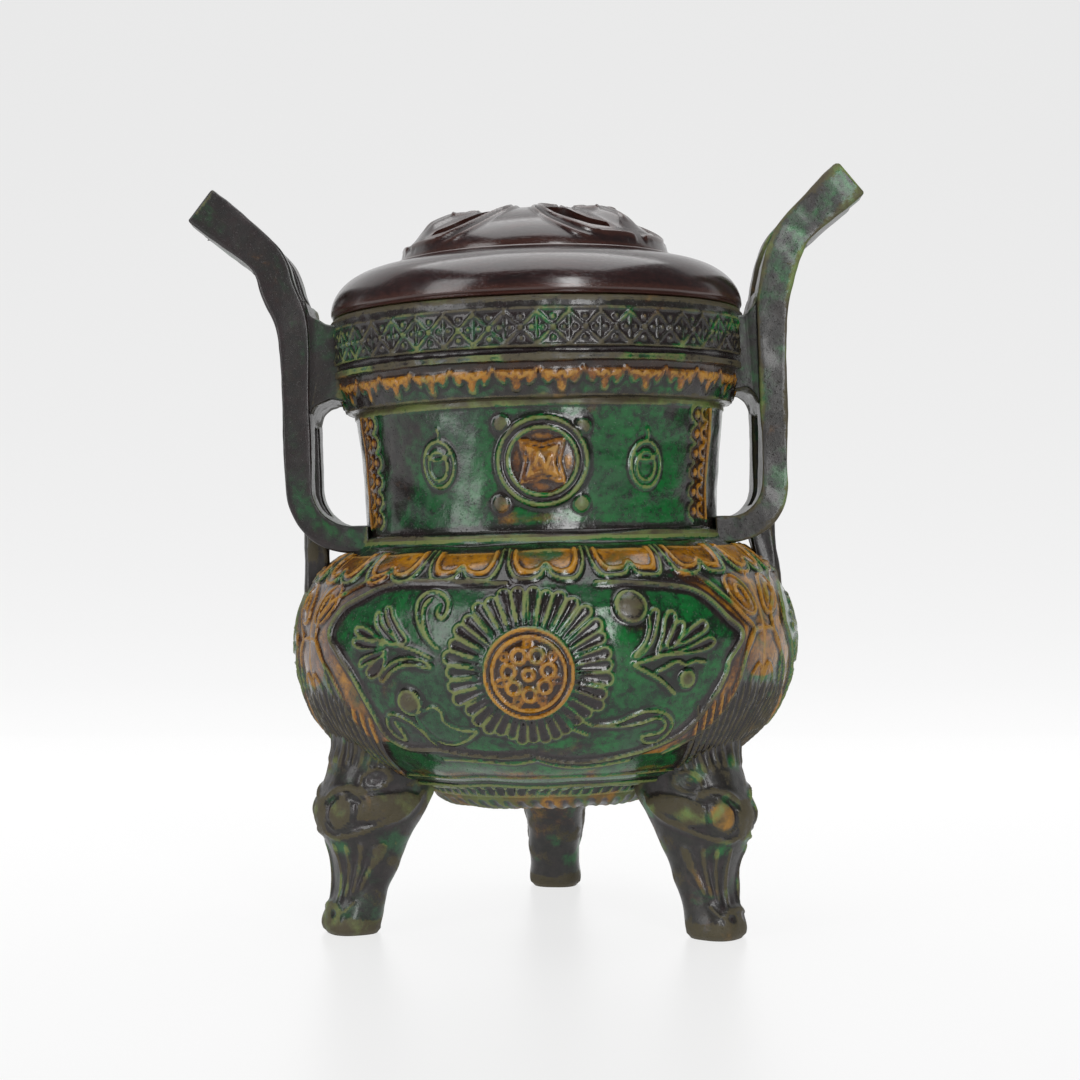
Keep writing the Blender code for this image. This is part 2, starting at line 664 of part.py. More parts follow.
def moulded_wall(tinted):
    """The outer wall with all its relief, closed over the mouth and under the belly.

    The wall is laid out flat, azimuth against running length, every raised form is
    drawn on it as constrained edges, and the triangles are wrapped round again.
    """
    heights, runs = wall_runs()
    places, edges, footprints = [], [], []

    def flat(azimuth, z):
        return Vector((math.radians(azimuth - SEAM) * BELLY_RADIUS, between(z, heights, runs)))

    for (points, links, prints), tint in tinted:
        middle = sum(a for a, _, _ in points) / len(points)
        turn = 360.0 * math.floor((middle - SEAM) / 360.0)
        first = len(places)
        places += [(a - turn, z, lift, tint) for a, z, lift in points]
        edges += [(first + i, first + j) for i, j in links]
        footprints += [[flat(a - turn, z) for a, z in outline] for outline in prints]

    boxes = [(min(v.x for v in f), max(v.x for v in f), min(v.y for v in f), max(v.y for v in f))
             for f in footprints]
    rows = []
    for z in heights:
        row = []
        for i in range(TURNED_SIDES + 1):
            azimuth = SEAM + 360.0 * i / TURNED_SIDES
            spot = flat(azimuth, z)
            clear = i in (0, TURNED_SIDES) or z in (heights[0], heights[-1]) or not any(
                low_x - GRID_MARGIN < spot.x < high_x + GRID_MARGIN
                and low_y - GRID_MARGIN < spot.y < high_y + GRID_MARGIN
                and close_to(spot, outline, GRID_MARGIN)
                for outline, (low_x, high_x, low_y, high_y) in zip(footprints, boxes))
            if clear:
                row.append(len(places))
                places.append((azimuth, z, 0.0, 0))
        rows.append(row)
        if z >= NECK_TOP_Z or z == heights[0] or abs(z - NECK_FOOT_Z) < NECK_BEAD * 1.1:
            edges += list(zip(row, row[1:]))
    for side in (0, -1):
        edges += [(low[side], high[side]) for low, high in zip(rows, rows[1:])]

    spread = delaunay_2d_cdt([flat(a, z) for a, z, _, _ in places], edges, [], 0, 1e-6, True)
    verts, _, faces, origins = spread[:4]
    bm = bmesh.new()
    made, tints = [], []
    for spot, origin in zip(verts, origins):
        known = max((places[i] for i in origin if i < len(places)), key=lambda place: place[2], default=None)
        if known is None:
            known = (SEAM + math.degrees(spot.x / BELLY_RADIUS), between(spot.y, runs, heights), 0.0004, 0)
        azimuth, z, lift, tint = known
        made.append(bm.verts.new(on_wall(azimuth, z, lift)))
        tints.append(tint if lift > 0.0 else 0)
    for face in faces:
        triangle = bm.faces.new([made[i] for i in face])
        triangle.material_index = max(tints[i] for i in face)

    for ring_z, cap in ((heights[0], under_belly()), (heights[-1], [(0.0, heights[-1])])):
        edge_ring = [(a, made[k]) for k, (a, z) in ring_places(verts, origins, places)
                     if abs(z - ring_z) < 1e-9 and a < SEAM + 359.9]
        edge_ring.sort(key=lambda item: item[0])
        outer = [vert for _, vert in edge_ring]
        for radius, z in cap:
            if radius < 1e-6:
                inner = [bm.verts.new((0.0, 0.0, z))]
            else:
                inner = [bm.verts.new(polar(a, radius, z)) for a, _ in edge_ring]
            count = len(outer)
            for i in range(count):
                j = (i + 1) % count
                corners = [outer[i], outer[j], inner[j % len(inner)], inner[i % len(inner)]]
                bm.faces.new(list(dict.fromkeys(corners)))
            outer = inner
    return closed(bm)


def ring_places(verts, origins, places):
    """Index, azimuth and height of the laid-out points that came from the grid."""
    for k, origin in enumerate(origins):
        for i in origin:
            if i < len(places) and len(origin) == 1:
                yield k, (places[i][0], places[i][1])


def under_belly():
    """Radii and heights of the belly's underside inside its foot ridge."""
    foot_z = outer_profile()[0][1]
    return [(BELLY_RADIUS * 0.34, foot_z - BELLY_BOTTOM_DROP * 0.65), (0.0, foot_z - BELLY_BOTTOM_DROP)]


def finish(name, colour, roughness, coat=0.0):
    """Principled material."""
    made = bpy.data.materials.new(name)
    made.use_nodes = True
    shader = made.node_tree.nodes["Principled BSDF"]
    shader.inputs["Base Color"].default_value = (*colour, 1.0)
    shader.inputs["Roughness"].default_value = roughness
    shader.inputs["Metallic"].default_value = 0.0
    shader.inputs["Coat Weight"].default_value = coat
    return made


def solid(name, forms, material, guide=False):
    """One object from a list of closed bmeshes."""
    whole = bmesh.new()
    for form in forms:
        piece = bpy.data.meshes.new("piece")
        form.to_mesh(piece)
        form.free()
        whole.from_mesh(piece)
        bpy.data.meshes.remove(piece)
    mesh = bpy.data.meshes.new(name)
    whole.to_mesh(mesh)
    whole.free()
    mesh.materials.append(material)
    made = bpy.data.objects.new(name, mesh)
    bpy.context.scene.collection.objects.link(made)
    if guide:
        made.hide_render = True
        made.display_type = 'WIRE'
    return made


def combine(target, operand, operation):
    """Boolean of one object with a guide object."""
    step = target.modifiers.new(operation.title(), 'BOOLEAN')
    step.operation = operation
    step.solver = 'EXACT'
    step.use_self = True
    step.material_mode = 'TRANSFER'
    step.object = operand


def settled(made):
    """Make an object's modifiers part of its mesh."""
    bpy.context.view_layer.update()
    graph = bpy.context.evaluated_depsgraph_get()
    result = bpy.data.meshes.new_from_object(made.evaluated_get(graph))
    made.modifiers.clear()
    made.data = result
    bm = bmesh.new()
    bm.from_mesh(result)
    bmesh.ops.remove_doubles(bm, verts=bm.verts, dist=0.00002)
    bmesh.ops.dissolve_degenerate(bm, edges=bm.edges, dist=0.00002)
    bmesh.ops.dissolve_limit(bm, angle_limit=math.radians(FLAT_ANGLE), verts=bm.verts, edges=bm.edges,
                             delimit={'MATERIAL'})
    bmesh.ops.triangulate(bm, faces=bm.faces)
    bm.to_mesh(result)
    bm.free()
    return made


def lean_matrix():
    """The vessel's lean about a level line through its middle plane."""
    pivot = Matrix.Translation((0.0, 0.0, LEAN_PIVOT_Z))
    return pivot @ Matrix.Rotation(math.radians(-LEAN), 4, 'Y') @ pivot.inverted()


def lid_base():
    """Height of the lid's underside, just clear of the lip."""
    return rim_levels()[-1] + LID_CLEARANCE


def dome_height(radius):
    """Top of the lid's dome at one radius."""
    share = min(radius / LID_DOME_RADIUS, 1.0)
    return lid_base() + LID_TORUS_HEIGHT + 0.0020 + LID_DOME_HEIGHT * math.sqrt(1.0 - share * share)


def lid_profile():
    """The lid from its crown, down its outer side and back up under the dome."""
    base = lid_base()
    torus_inner = LID_RADIUS - 0.0100
    ledge_z = base + LID_TORUS_HEIGHT
    dome_foot = ledge_z + 0.0020
    crown = elliptic(0.0, dome_foot, LID_DOME_RADIUS, LID_DOME_HEIGHT, 90.0, 8.0, 4)
    torus = elliptic(torus_inner, base + 0.0030, 0.0100, LID_TORUS_HEIGHT - 0.0030, 90.0, 0.0, 3)
    flange = MOUTH_RADIUS - LID_FLANGE_CLEARANCE
    points = [(0.0, crown[0][1])] + crown[1:]
    points += [(LID_DOME_RADIUS + 0.0006, dome_foot), (LID_LEDGE_RADIUS, ledge_z + LID_LEDGE_RISE)]
    points += torus
    points += [(LID_RADIUS, base), (flange, base), (flange, base - LID_FLANGE_DEPTH),
               (flange - LID_WALL, base - LID_FLANGE_DEPTH), (flange - LID_WALL, ledge_z - LID_WALL)]
    points += elliptic(0.0, dome_foot - 0.0020, LID_DOME_RADIUS - LID_WALL, LID_DOME_HEIGHT - 0.0040, 8.0, 90.0, 3)
    points[-1] = (0.0, points[-1][1])
    return points


def lid_point(azimuth, radius, lift):
    """Point over the dome of the lid."""
    return polar(azimuth, radius, dome_height(radius) + lift)


def smooth_line(points, steps):
    """Points along a soft curve through a few points (Catmull-Rom)."""
    line = []
    last = len(points) - 1
    for i in range(last):
        p0, p1, p2, p3 = points[max(i - 1, 0)], points[i], points[i + 1], points[min(i + 2, last)]
        for k in range(steps):
            t = k / steps
            line.append(tuple(0.5 * (2 * b + (c - a) * t + (2 * a - 5 * b + 4 * c - d) * t * t
                                     + (3 * b - a - 3 * c + d) * t ** 3)
                              for a, b, c, d in zip(p0, p1, p2, p3)))
    line.append(tuple(points[-1]))
    return line


# One side of a cloud head on the dome: turn off its middle and radius in millimetres
CURL_OPENING = ((16.0, 42.5), (32.0, 40.0), (44.0, 33.5), (47.0, 25.5), (36.0, 19.5), (21.0, 20.5))
CURL_BEAD = ((7.0, 46.0), (30.0, 45.0), (48.0, 38.5), (54.0, 28.0), (50.0, 18.0), (30.0, 13.5), (8.0, 15.5))
OPENING_WIDTHS = (2.4, 4.2, 5.4, 5.0, 4.0, 2.2)


def plan_point(head, side, turn, radius):
    """Plan position on the lid from a cloud head's own turn and radius."""
    return polar(head + side * turn, radius / 1000.0, 0.0)


def curl_cutter(head, side):
    """Upright cutter of one crescent piercing beside a cloud head."""
    line = smooth_line([(*plan_point(head, side, *p)[:2], w / 1000.0)
                        for p, w in zip(CURL_OPENING, OPENING_WIDTHS)], 1)
    left, right = [], []
    for i, (x, y, width) in enumerate(line):
        before, after = line[max(i - 1, 0)], line[min(i + 1, len(line) - 1)]
        along = Vector((after[0] - before[0], after[1] - before[1])).normalized()
        left.append((x - along.y * width / 2.0, y + along.x * width / 2.0))
        right.append((x + along.y * width / 2.0, y - along.x * width / 2.0))
    outline = left + list(reversed(right))
    low = lid_base() - LID_FLANGE_DEPTH
    high = lid_base() + LID_TORUS_HEIGHT + LID_DOME_HEIGHT * 2.0
    return loft([[Vector((x, y, z)) for x, y in outline] for z in (low, high)])


def curl_bead(head, side):
    """The raised bead that runs round one side of a cloud head."""
    line = smooth_line([plan_point(head, side, *p)[:2] for p in CURL_BEAD], 1)
    points = [Vector((x, y, dome_height(math.hypot(x, y)))) for x, y in line]
    widths = [0.0030] * len(points)
    return rib(points, widths, Vector((0.0, 0.0, 1.0)), 0.0010)


def swollen_head(head):
    """The rounded leaf in the middle of a cloud head."""
    outline = ((0.0, 43.5), (9.0, 43.0), (18.0, 38.0), (24.0, 31.0), (20.0, 26.5), (0.0, 22.0))
    ring = [(head + turn, radius) for turn, radius in outline]
    ring += [(head - turn, radius) for turn, radius in reversed(outline[1:-1])]
    low = [lid_point(a, r / 1000.0, -0.0020) for a, r in ring]
    high = [lid_point(a, r / 1000.0, 0.0004) for a, r in ring]
    bm = bmesh.new()
    base = [bm.verts.new(p) for p in low]
    rise = [bm.verts.new(p) for p in high]
    top = bm.verts.new(lid_point(head, 0.0340, 0.0022))
    for i in range(len(base)):
        j = (i + 1) % len(base)
        bm.faces.new((base[i], base[j], rise[j], rise[i]))
        bm.faces.new((rise[i], rise[j], top))
    bm.faces.new(list(reversed(base)))
    return closed(bm)


def build_lid(material):
    """The turned lid with its carved cloud heads and crescent piercings."""
    lid = solid("lid", [turned(lid_profile(), LID_SIDES)], material)
    carved = [swollen_head(head) for head in LID_HEADS]
    carved += [curl_bead(head, side) for head in LID_HEADS for side in (-1.0, 1.0)]
    piercings = [curl_cutter(head, side) for head in LID_HEADS for side in (-1.0, 1.0)]
    combine(lid, solid("lid_carving", carved, material, guide=True), 'UNION')
    combine(lid, solid("lid_piercings", piercings, material, guide=True), 'DIFFERENCE')
    return settled(lid)


def build_vessel(finishes):
    """The fired vessel: body, handles, legs and all relief in one solid."""
    green, amber, dark = finishes
    lean = lean_matrix()
    relief = [(form, 1) for form in rim_relief() + shoulder_relief()]
    for leg in LEG_AZIMUTHS:
        panel = leg + 180.0 + PANEL_SHIFT
        front = leg == LEG_AZIMUTHS[2]
        relief.append((cartouche(panel), 1))
        relief += [(form, 1) for form in flower(panel, PETALS if front else REAR_PETALS, SEEDS if front else 0)]
        relief += [(form, 2) for form in foliage(panel, FINGERS if front else REAR_FINGERS) + mane(leg)]
    for face in (SHOULDER_START, SHOULDER_START + 180.0):
        relief += [(form, 1) for form in neck_relief(face, face == SHOULDER_START)]
    body = solid("censer", [moulded_wall(relief)], green)
    body.data.materials.append(amber)
    body.data.materials.append(green)
    leaning = [body]

    straps = []
    for number, values in enumerate((LEFT_HANDLE, RIGHT_HANDLE)):
        strap = solid(f"handle_{number}", [handle_strap(values)], dark, guide=True)
        slot = solid(f"slot_{number}", [handle_slot(values)], dark, guide=True)
        combine(strap, slot, 'DIFFERENCE')
        straps.append(settled(strap))
        straps.append(solid(f"luting_{number}", [handle_bridge(values), handle_strut(values)], dark, guide=True))
    leaning += straps
    hollow = solid("hollow", [turned(cavity_profile(), HOLLOW_SIDES)], dark, guide=True)
    leaning.append(hollow)
    for made in leaning:
        made.data.transform(lean)

    limbs = [leg_limb(leg) for leg in LEG_AZIMUTHS]
    masks = [form for leg in LEG_AZIMUTHS for form in leg_mask(leg)]
    legs = solid("legs", limbs + masks, dark, guide=True)
    for operand in [legs] + straps:
        combine(body, operand, 'UNION')
    combine(body, hollow, 'DIFFERENCE')
    return settled(body)


def centre_on_origin(parts):
    """Bring the whole part's middle over the origin with its feet at zero height."""
    corners = [v.co for part in parts for v in part.data.vertices]
    middle = Vector([(min(c[i] for c in corners) + max(c[i] for c in corners)) / 2.0 for i in range(3)])
    middle.z = min(c.z for c in corners)
    for part in parts:
        part.data.transform(Matrix.Translation(-middle))


def main():
    for made in list(bpy.data.objects):
        bpy.data.objects.remove(made)
    green = finish("green glaze", (0.035, 0.13, 0.055), 0.22, 0.5)
    amber = finish("amber glaze", (0.36, 0.15, 0.03), 0.25, 0.5)
    dark = finish("aubergine glaze", (0.045, 0.032, 0.025), 0.3, 0.4)
    wood = finish("polished dark hardwood", (0.045, 0.022, 0.02), 0.35)
    vessel = build_vessel((green, amber, dark))
    lid = build_lid(wood)
    lid.data.transform(lean_matrix())
    centre_on_origin([vessel, lid])
    for part in (vessel, lid):
        part.data.shade_smooth()
        part.data.set_sharp_from_angle(angle=math.radians(28.0))


main()
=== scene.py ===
# %% [markdown]
# # A glazed tripod censer with a pierced wooden lid
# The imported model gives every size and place: the vessel and its lid stand there as plain
# solids. In this lesson each of them is replaced by pieces that carry the real relief and
# the real finishes, in the same place and inside the same box.

# %% The frame
import math

import bpy
import numpy as np
from mathutils import Matrix, Vector


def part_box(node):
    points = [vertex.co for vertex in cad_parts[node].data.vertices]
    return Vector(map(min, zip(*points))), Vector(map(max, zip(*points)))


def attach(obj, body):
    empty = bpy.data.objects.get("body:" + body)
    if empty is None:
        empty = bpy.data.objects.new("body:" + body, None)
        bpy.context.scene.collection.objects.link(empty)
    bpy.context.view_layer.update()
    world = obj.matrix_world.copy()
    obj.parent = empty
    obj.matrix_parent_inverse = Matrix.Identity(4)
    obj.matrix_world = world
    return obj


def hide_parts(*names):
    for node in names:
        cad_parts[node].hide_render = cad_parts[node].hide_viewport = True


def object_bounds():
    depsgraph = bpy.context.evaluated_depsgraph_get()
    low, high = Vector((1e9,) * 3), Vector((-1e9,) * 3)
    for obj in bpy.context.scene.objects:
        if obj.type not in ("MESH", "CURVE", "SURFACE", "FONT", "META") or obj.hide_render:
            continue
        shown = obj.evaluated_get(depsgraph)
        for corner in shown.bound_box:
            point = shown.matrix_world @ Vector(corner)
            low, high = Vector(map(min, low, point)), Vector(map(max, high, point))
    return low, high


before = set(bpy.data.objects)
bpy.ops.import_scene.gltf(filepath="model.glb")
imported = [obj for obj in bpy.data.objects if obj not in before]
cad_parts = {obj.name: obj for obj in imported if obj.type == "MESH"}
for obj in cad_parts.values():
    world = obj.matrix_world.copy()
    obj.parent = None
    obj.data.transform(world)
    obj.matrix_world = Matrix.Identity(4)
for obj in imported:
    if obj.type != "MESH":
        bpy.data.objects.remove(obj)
cad_box = [list(corner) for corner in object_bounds()]
print("whole object, m:", cad_box)

# %% [markdown]
# The wall of the vessel is round about one upright line, and the fired vessel leans a little
# to the left on its level feet. All turned pieces are made upright about zero, in
# millimetres, and set on that leaning line in one place, so no piece can drift from the rest.

# %% The leaning axis
MM = 0.001
LEAN = math.radians(1.6)
AXIS_X, AXIS_Y, LEAN_PIVOT_Z = 5.408, 0.919, 150.0

pivot = Matrix.Translation((0.0, 0.0, LEAN_PIVOT_Z))
stand_on_axis = Matrix.Translation((AXIS_X, AXIS_Y, 0.0))
leaning = stand_on_axis @ pivot @ Matrix.Rotation(-LEAN, 4, "Y") @ pivot.inverted()
upright = stand_on_axis
lid_low, lid_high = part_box("lid")
print("lid box middle, mm:", [round((a + b) / 2 / MM, 2) for a, b in zip(lid_low, lid_high)])


def place(points, stance):
    """Move an array of millimetre points onto the axis and turn it into metres."""
    matrix = np.array(stance)
    return (points @ matrix[:3, :3].T + matrix[:3, 3]) * MM


# %% [markdown]
# The photograph is taken from the front, level, with the eye a little above half height. The
# camera stands there with a long lens, and a small upward shift frames the object, so the
# uprights stay upright.

# %% Camera
CAMERA_PLACE = (0.0049, -0.751, 0.131)
camera_data = bpy.data.cameras.new("camera")
camera_data.sensor_width = 36.0
camera_data.lens = 70.0
camera_data.shift_y = 0.00926
camera_data.dof.use_dof = False
camera = bpy.data.objects.new("camera", camera_data)
camera.location = CAMERA_PLACE
camera.rotation_euler = (math.radians(90.0), 0.0, 0.0)
bpy.context.scene.collection.objects.link(camera)
bpy.context.scene.camera = camera

# %% [markdown]
# A studio shot like this one uses a pale sweep: paper that lies flat and then curves up, so
# no horizon line shows. It is a plane with its far edge pulled up and the fold rounded.
# Two tall softboxes give the upright streaks on the glaze, and a wide one from above gives
# the soft light on the shoulder and the lid.

# %% Helpers for working by hand
def deselect_all():
    """Leave nothing selected, so that an operator touches only what is picked next."""
    if bpy.context.mode != "OBJECT":
        bpy.ops.object.mode_set(mode="OBJECT")
    bpy.ops.object.select_all(action="DESELECT")


def pick(piece):
    """Make one piece the only selected and active one."""
    deselect_all()
    piece.select_set(True)
    bpy.context.view_layer.objects.active = piece


def coordinates(piece):
    """The vertex places of a piece as an array."""
    flat = np.empty(len(piece.data.vertices) * 3)
    piece.data.vertices.foreach_get("co", flat)
    return flat.reshape(-1, 3)


def set_coordinates(piece, points):
    """Write an array of places back to a piece."""
    piece.data.vertices.foreach_set("co", np.ascontiguousarray(points, dtype=np.float32).ravel())
    piece.data.update()


def choose(piece, kind, chosen):
    """Open a piece in edit mode with only the chosen vertices, edges or faces selected."""
    pick(piece)
    bpy.ops.object.mode_set(mode="EDIT")
    bpy.ops.mesh.select_mode(type=kind)
    bpy.ops.mesh.select_all(action="DESELECT")
    bpy.ops.object.mode_set(mode="OBJECT")
    parts = {"VERT": piece.data.vertices, "EDGE": piece.data.edges, "FACE": piece.data.polygons}[kind]
    parts.foreach_set("select", np.asarray(chosen, dtype=bool))
    bpy.ops.object.mode_set(mode="EDIT")


def new_piece(name, points, edges, faces):
    """A piece from plain lists of points, edges and faces."""
    mesh = bpy.data.meshes.new(name)
    mesh.from_pydata(points, edges, faces)
    piece = bpy.data.objects.new(name, mesh)
    bpy.context.scene.collection.objects.link(piece)
    return piece


def face_outwards(piece):
    """Turn every face of a closed piece outwards."""
    pick(piece)
    bpy.ops.object.mode_set(mode="EDIT")
    bpy.ops.mesh.select_all(action="SELECT")
    bpy.ops.mesh.normals_make_consistent(inside=False)
    bpy.ops.object.mode_set(mode="OBJECT")


def vertex_normals(piece):
    """The vertex normals of a piece as an array."""
    flat = np.empty(len(piece.data.vertices) * 3)
    piece.data.vertices.foreach_get("normal", flat)
    return flat.reshape(-1, 3)


def apply_modifiers(piece):
    """Apply every modifier of a piece, first to last."""
    pick(piece)
    for modifier in list(piece.modifiers):
        bpy.ops.object.modifier_apply(modifier=modifier.name)


# %% Sweep and softboxes, in metres
SWEEP_WIDTH, SWEEP_DEPTH, SWEEP_HEIGHT, SWEEP_FOLD, SWEEP_MIDDLE_Y = 9.0, 6.0, 4.0, 1.5, -1.0

deselect_all()
bpy.ops.mesh.primitive_plane_add(size=1.0, location=(0.0, SWEEP_MIDDLE_Y, 0.0))
sweep = bpy.context.object
sweep.name = "sweep"
sweep.scale = (SWEEP_WIDTH, SWEEP_DEPTH, 1.0)
bpy.ops.object.transform_apply(location=True, rotation=False, scale=True)
paper_y = coordinates(sweep)[:, 1]
choose(sweep, "EDGE", [min(paper_y[i] for i in edge.vertices) > paper_y.max() - 1e-6
                       for edge in sweep.data.edges])
bpy.ops.mesh.extrude_region_move(TRANSFORM_OT_translate={"value": (0.0, 0.0, SWEEP_HEIGHT)})
bpy.ops.object.mode_set(mode="OBJECT")
fold = sweep.modifiers.new("fold", "BEVEL")
fold.width = SWEEP_FOLD
fold.segments = 16
fold.limit_method = "ANGLE"
apply_modifiers(sweep)
bpy.ops.object.shade_smooth()
paper = bpy.data.materials.new("studio_paper")
paper.use_nodes = True
paper_shader = paper.node_tree.nodes["Principled BSDF"]
paper_shader.inputs["Base Color"].default_value = (0.08, 0.08, 0.0805, 1.0)
paper_shader.inputs["Emission Color"].default_value = (1.0, 1.0, 1.0, 1.0)
paper_shader.inputs["Emission Strength"].default_value = 0.76
paper_shader.inputs["Roughness"].default_value = 0.34
paper_shader.inputs["Specular IOR Level"].default_value = 0.12
sweep.data.materials.append(paper)


def softbox(name, place_at, look_at, width, height, power):
    """A rectangular studio light that faces one point."""
    data = bpy.data.lights.new(name, "AREA")
    data.shape = "RECTANGLE"
    data.size, data.size_y = width, height
    data.energy = power
    lamp = bpy.data.objects.new(name, data)
    lamp.location = place_at
    aim = Vector(look_at) - Vector(place_at)
    lamp.rotation_euler = aim.to_track_quat("-Z", "Y").to_euler()
    bpy.context.scene.collection.objects.link(lamp)
    return lamp


MIDDLE = (0.0, 0.0, 0.14)
softbox("box_right", (0.42, -1.25, 0.42), MIDDLE, 0.26, 1.3, 11.0)
softbox("box_left", (-1.15, -0.95, 0.55), MIDDLE, 0.6, 1.5, 11.0)
softbox("box_top", (0.0, 0.1, 1.6), MIDDLE, 1.6, 1.6, 22.0)
world = bpy.data.worlds.new("studio_air")
world.use_nodes = True
world.node_tree.nodes["Background"].inputs["Color"].default_value = (1.0, 1.0, 1.0, 1.0)
world.node_tree.nodes["Background"].inputs["Strength"].default_value = 0.15
bpy.context.scene.world = world
bpy.context.scene.view_settings.view_transform = "Standard"
print("camera and lights stand")

# %% [markdown]
# The belly, the neck and the rim of the real censer were pressed in moulds section by
# section and luted together with wet clay. They are made the same way here. A section is one
# closed outline, its outer side followed in fine steps and its inner side in coarse ones,
# which Spin turns round the axis. The fine side then has enough points for relief that
# casts its own shadows, which a bump map can't do at the silhouette.

# %% Sizes of the turned wall, in millimetres
BELLY_RADIUS, BELLY_MID_Z = 88.9, 99.3
LOWER_REACH, LOWER_DROP, LOWER_END = 48.9, 48.7, -84.0
UPPER_REACH, UPPER_RISE, UPPER_END = 38.9, 37.0, 66.0
FOOT_DROP, FOOT_STEP, BOTTOM_DROP = 3.5, 3.0, 5.8
NECK_RADIUS, NECK_FLARE, NECK_BEAD = 62.3, 3.3, 2.2
NECK_FOOT_Z, NECK_TOP_Z = 137.5, 180.5
RIM_RADIUS, RIM_UNDER_STEP = 73.5, 4.5
LAPPET_TOP, FILLET_TOP, GROOVE_TOP, FRET_TOP, LIP_TOP = 191.7, 195.2, 196.8, 209.2, 213.7
WALL, MOUTH_RADIUS, MOUTH_DEPTH = 5.5, 64.5, 16.0
LEG_AZIMUTHS = (-64.5, 55.5, 175.5)
GRAIN = 0.61


def elliptic(centre_r, centre_z, reach_r, reach_z, start, end, steps):
    """Points (radius, height) along an elliptical arc, angles in degrees."""
    turn = np.radians(np.linspace(start, end, steps + 1))
    return np.column_stack((centre_r + reach_r * np.cos(turn), centre_z + reach_z * np.sin(turn)))


def belly_line(inset, lower_steps, upper_steps):
    """The belly's side from its foot to its shoulder, inset from the outer wall."""
    lower = elliptic(BELLY_RADIUS - LOWER_REACH, BELLY_MID_Z, LOWER_REACH - inset, LOWER_DROP - inset,
                     LOWER_END, 0.0, lower_steps)
    upper = elliptic(BELLY_RADIUS - UPPER_REACH, BELLY_MID_Z, UPPER_REACH - inset, UPPER_RISE - inset,
                     0.0, UPPER_END, upper_steps)
    return np.vstack((lower, upper[1:]))


def stepped(corners, step):
    """A line through a few corners, cut into even steps."""
    line = [np.array(corners[0], dtype=float)]
    for a, b in zip(corners, corners[1:]):
        a, b = np.array(a, dtype=float), np.array(b, dtype=float)
        count = max(1, int(round(np.linalg.norm(b - a) / step)))
        line += [a + (b - a) * i / count for i in range(1, count + 1)]
    return np.array(line)


def run_along(line):
    """Running length at each point of a line."""
    return np.concatenate(([0.0], np.cumsum(np.linalg.norm(np.diff(line, axis=0), axis=1))))


# %% Turning a section
def turn_section(name, outline, start, end, grain=GRAIN):
    """Spin a closed outline of (radius, height) from one azimuth to another into a solid."""
    whole = end - start >= 360.0
    count = len(outline)
    first = np.radians(start)
    ring = [(r * math.sin(first), -r * math.cos(first), z) for r, z in outline]
    piece = new_piece(name, ring, [(i, (i + 1) % count) for i in range(count)], [])
    piece.data.attributes.new("row", "INT", "POINT").data.foreach_set("value", range(count))
    pick(piece)
    widest = max(r for r, _ in outline)
    steps = int(round(math.radians(end - start) * widest / grain))
    bpy.ops.object.mode_set(mode="EDIT")
    bpy.ops.mesh.select_all(action="SELECT")
    bpy.ops.mesh.spin(steps=steps, angle=-math.radians(end - start), center=(0.0, 0.0, 0.0),
                      axis=(0.0, 0.0, 1.0))
    if whole:
        bpy.ops.mesh.select_all(action="SELECT")
        bpy.ops.mesh.remove_doubles(threshold=0.01)
    else:
        bpy.ops.mesh.select_all(action="DESELECT")
        bpy.ops.mesh.select_mode(type="EDGE")
        bpy.ops.mesh.select_non_manifold(extend=False)
        bpy.ops.mesh.edge_face_add()
    bpy.ops.mesh.select_mode(type="VERT")
    face_outwards(piece)
    print(name, "points", len(piece.data.vertices), "faces", len(piece.data.polygons))
    return piece


# %% [markdown]
# Moulded relief is drawn on a surface much as a mould carver cuts it: lines that end up as
# thin raised beads, pads, domes and rings. Each vertex knows how far along and how far up
# the wall it lies, so a drawn line only has to measure its distance to the vertices near
# it. Displacing them in code keeps even spacing, where joined tubes would leave seams.

# %% Drawing in clay
def soft(points, closed=False, steps=5):
    """A smooth line through a few drawn points."""
    points = [np.array(p, dtype=float) for p in points]
    count = len(points)
    line = []
    for i in range(count if closed else count - 1):
        if closed:
            a, b, c, d = (points[(i + k) % count] for k in (-1, 0, 1, 2))
        else:
            a, b, c, d = (points[min(max(i + k, 0), count - 1)] for k in (-1, 0, 1, 2))
        for k in range(steps):
            t = k / steps
            line.append(0.5 * (2 * b + (c - a) * t + (2 * a - 5 * b + 4 * c - d) * t * t
                               + (3 * b - a - 3 * c + d) * t ** 3))
    line.append(points[0] if closed else points[-1])
    return np.array(line)


def eased(value):
    """A smooth step from 0 to 1."""
    value = np.clip(value, 0.0, 1.0)
    return value * value * (3.0 - 2.0 * value)


def wander(points, size, seed):
    """A slow uneven wave from -1 to 1 over places, the same wherever two pieces meet."""
    dice = np.random.default_rng(seed)
    total = np.zeros(len(points))
    for _ in range(7):
        heading = dice.normal(size=3)
        heading /= np.linalg.norm(heading)
        pace = 2.0 * math.pi / (size * dice.uniform(0.7, 1.6))
        total += np.sin(points @ heading * pace + dice.uniform(0.0, 2.0 * math.pi))
    return total / 3.2


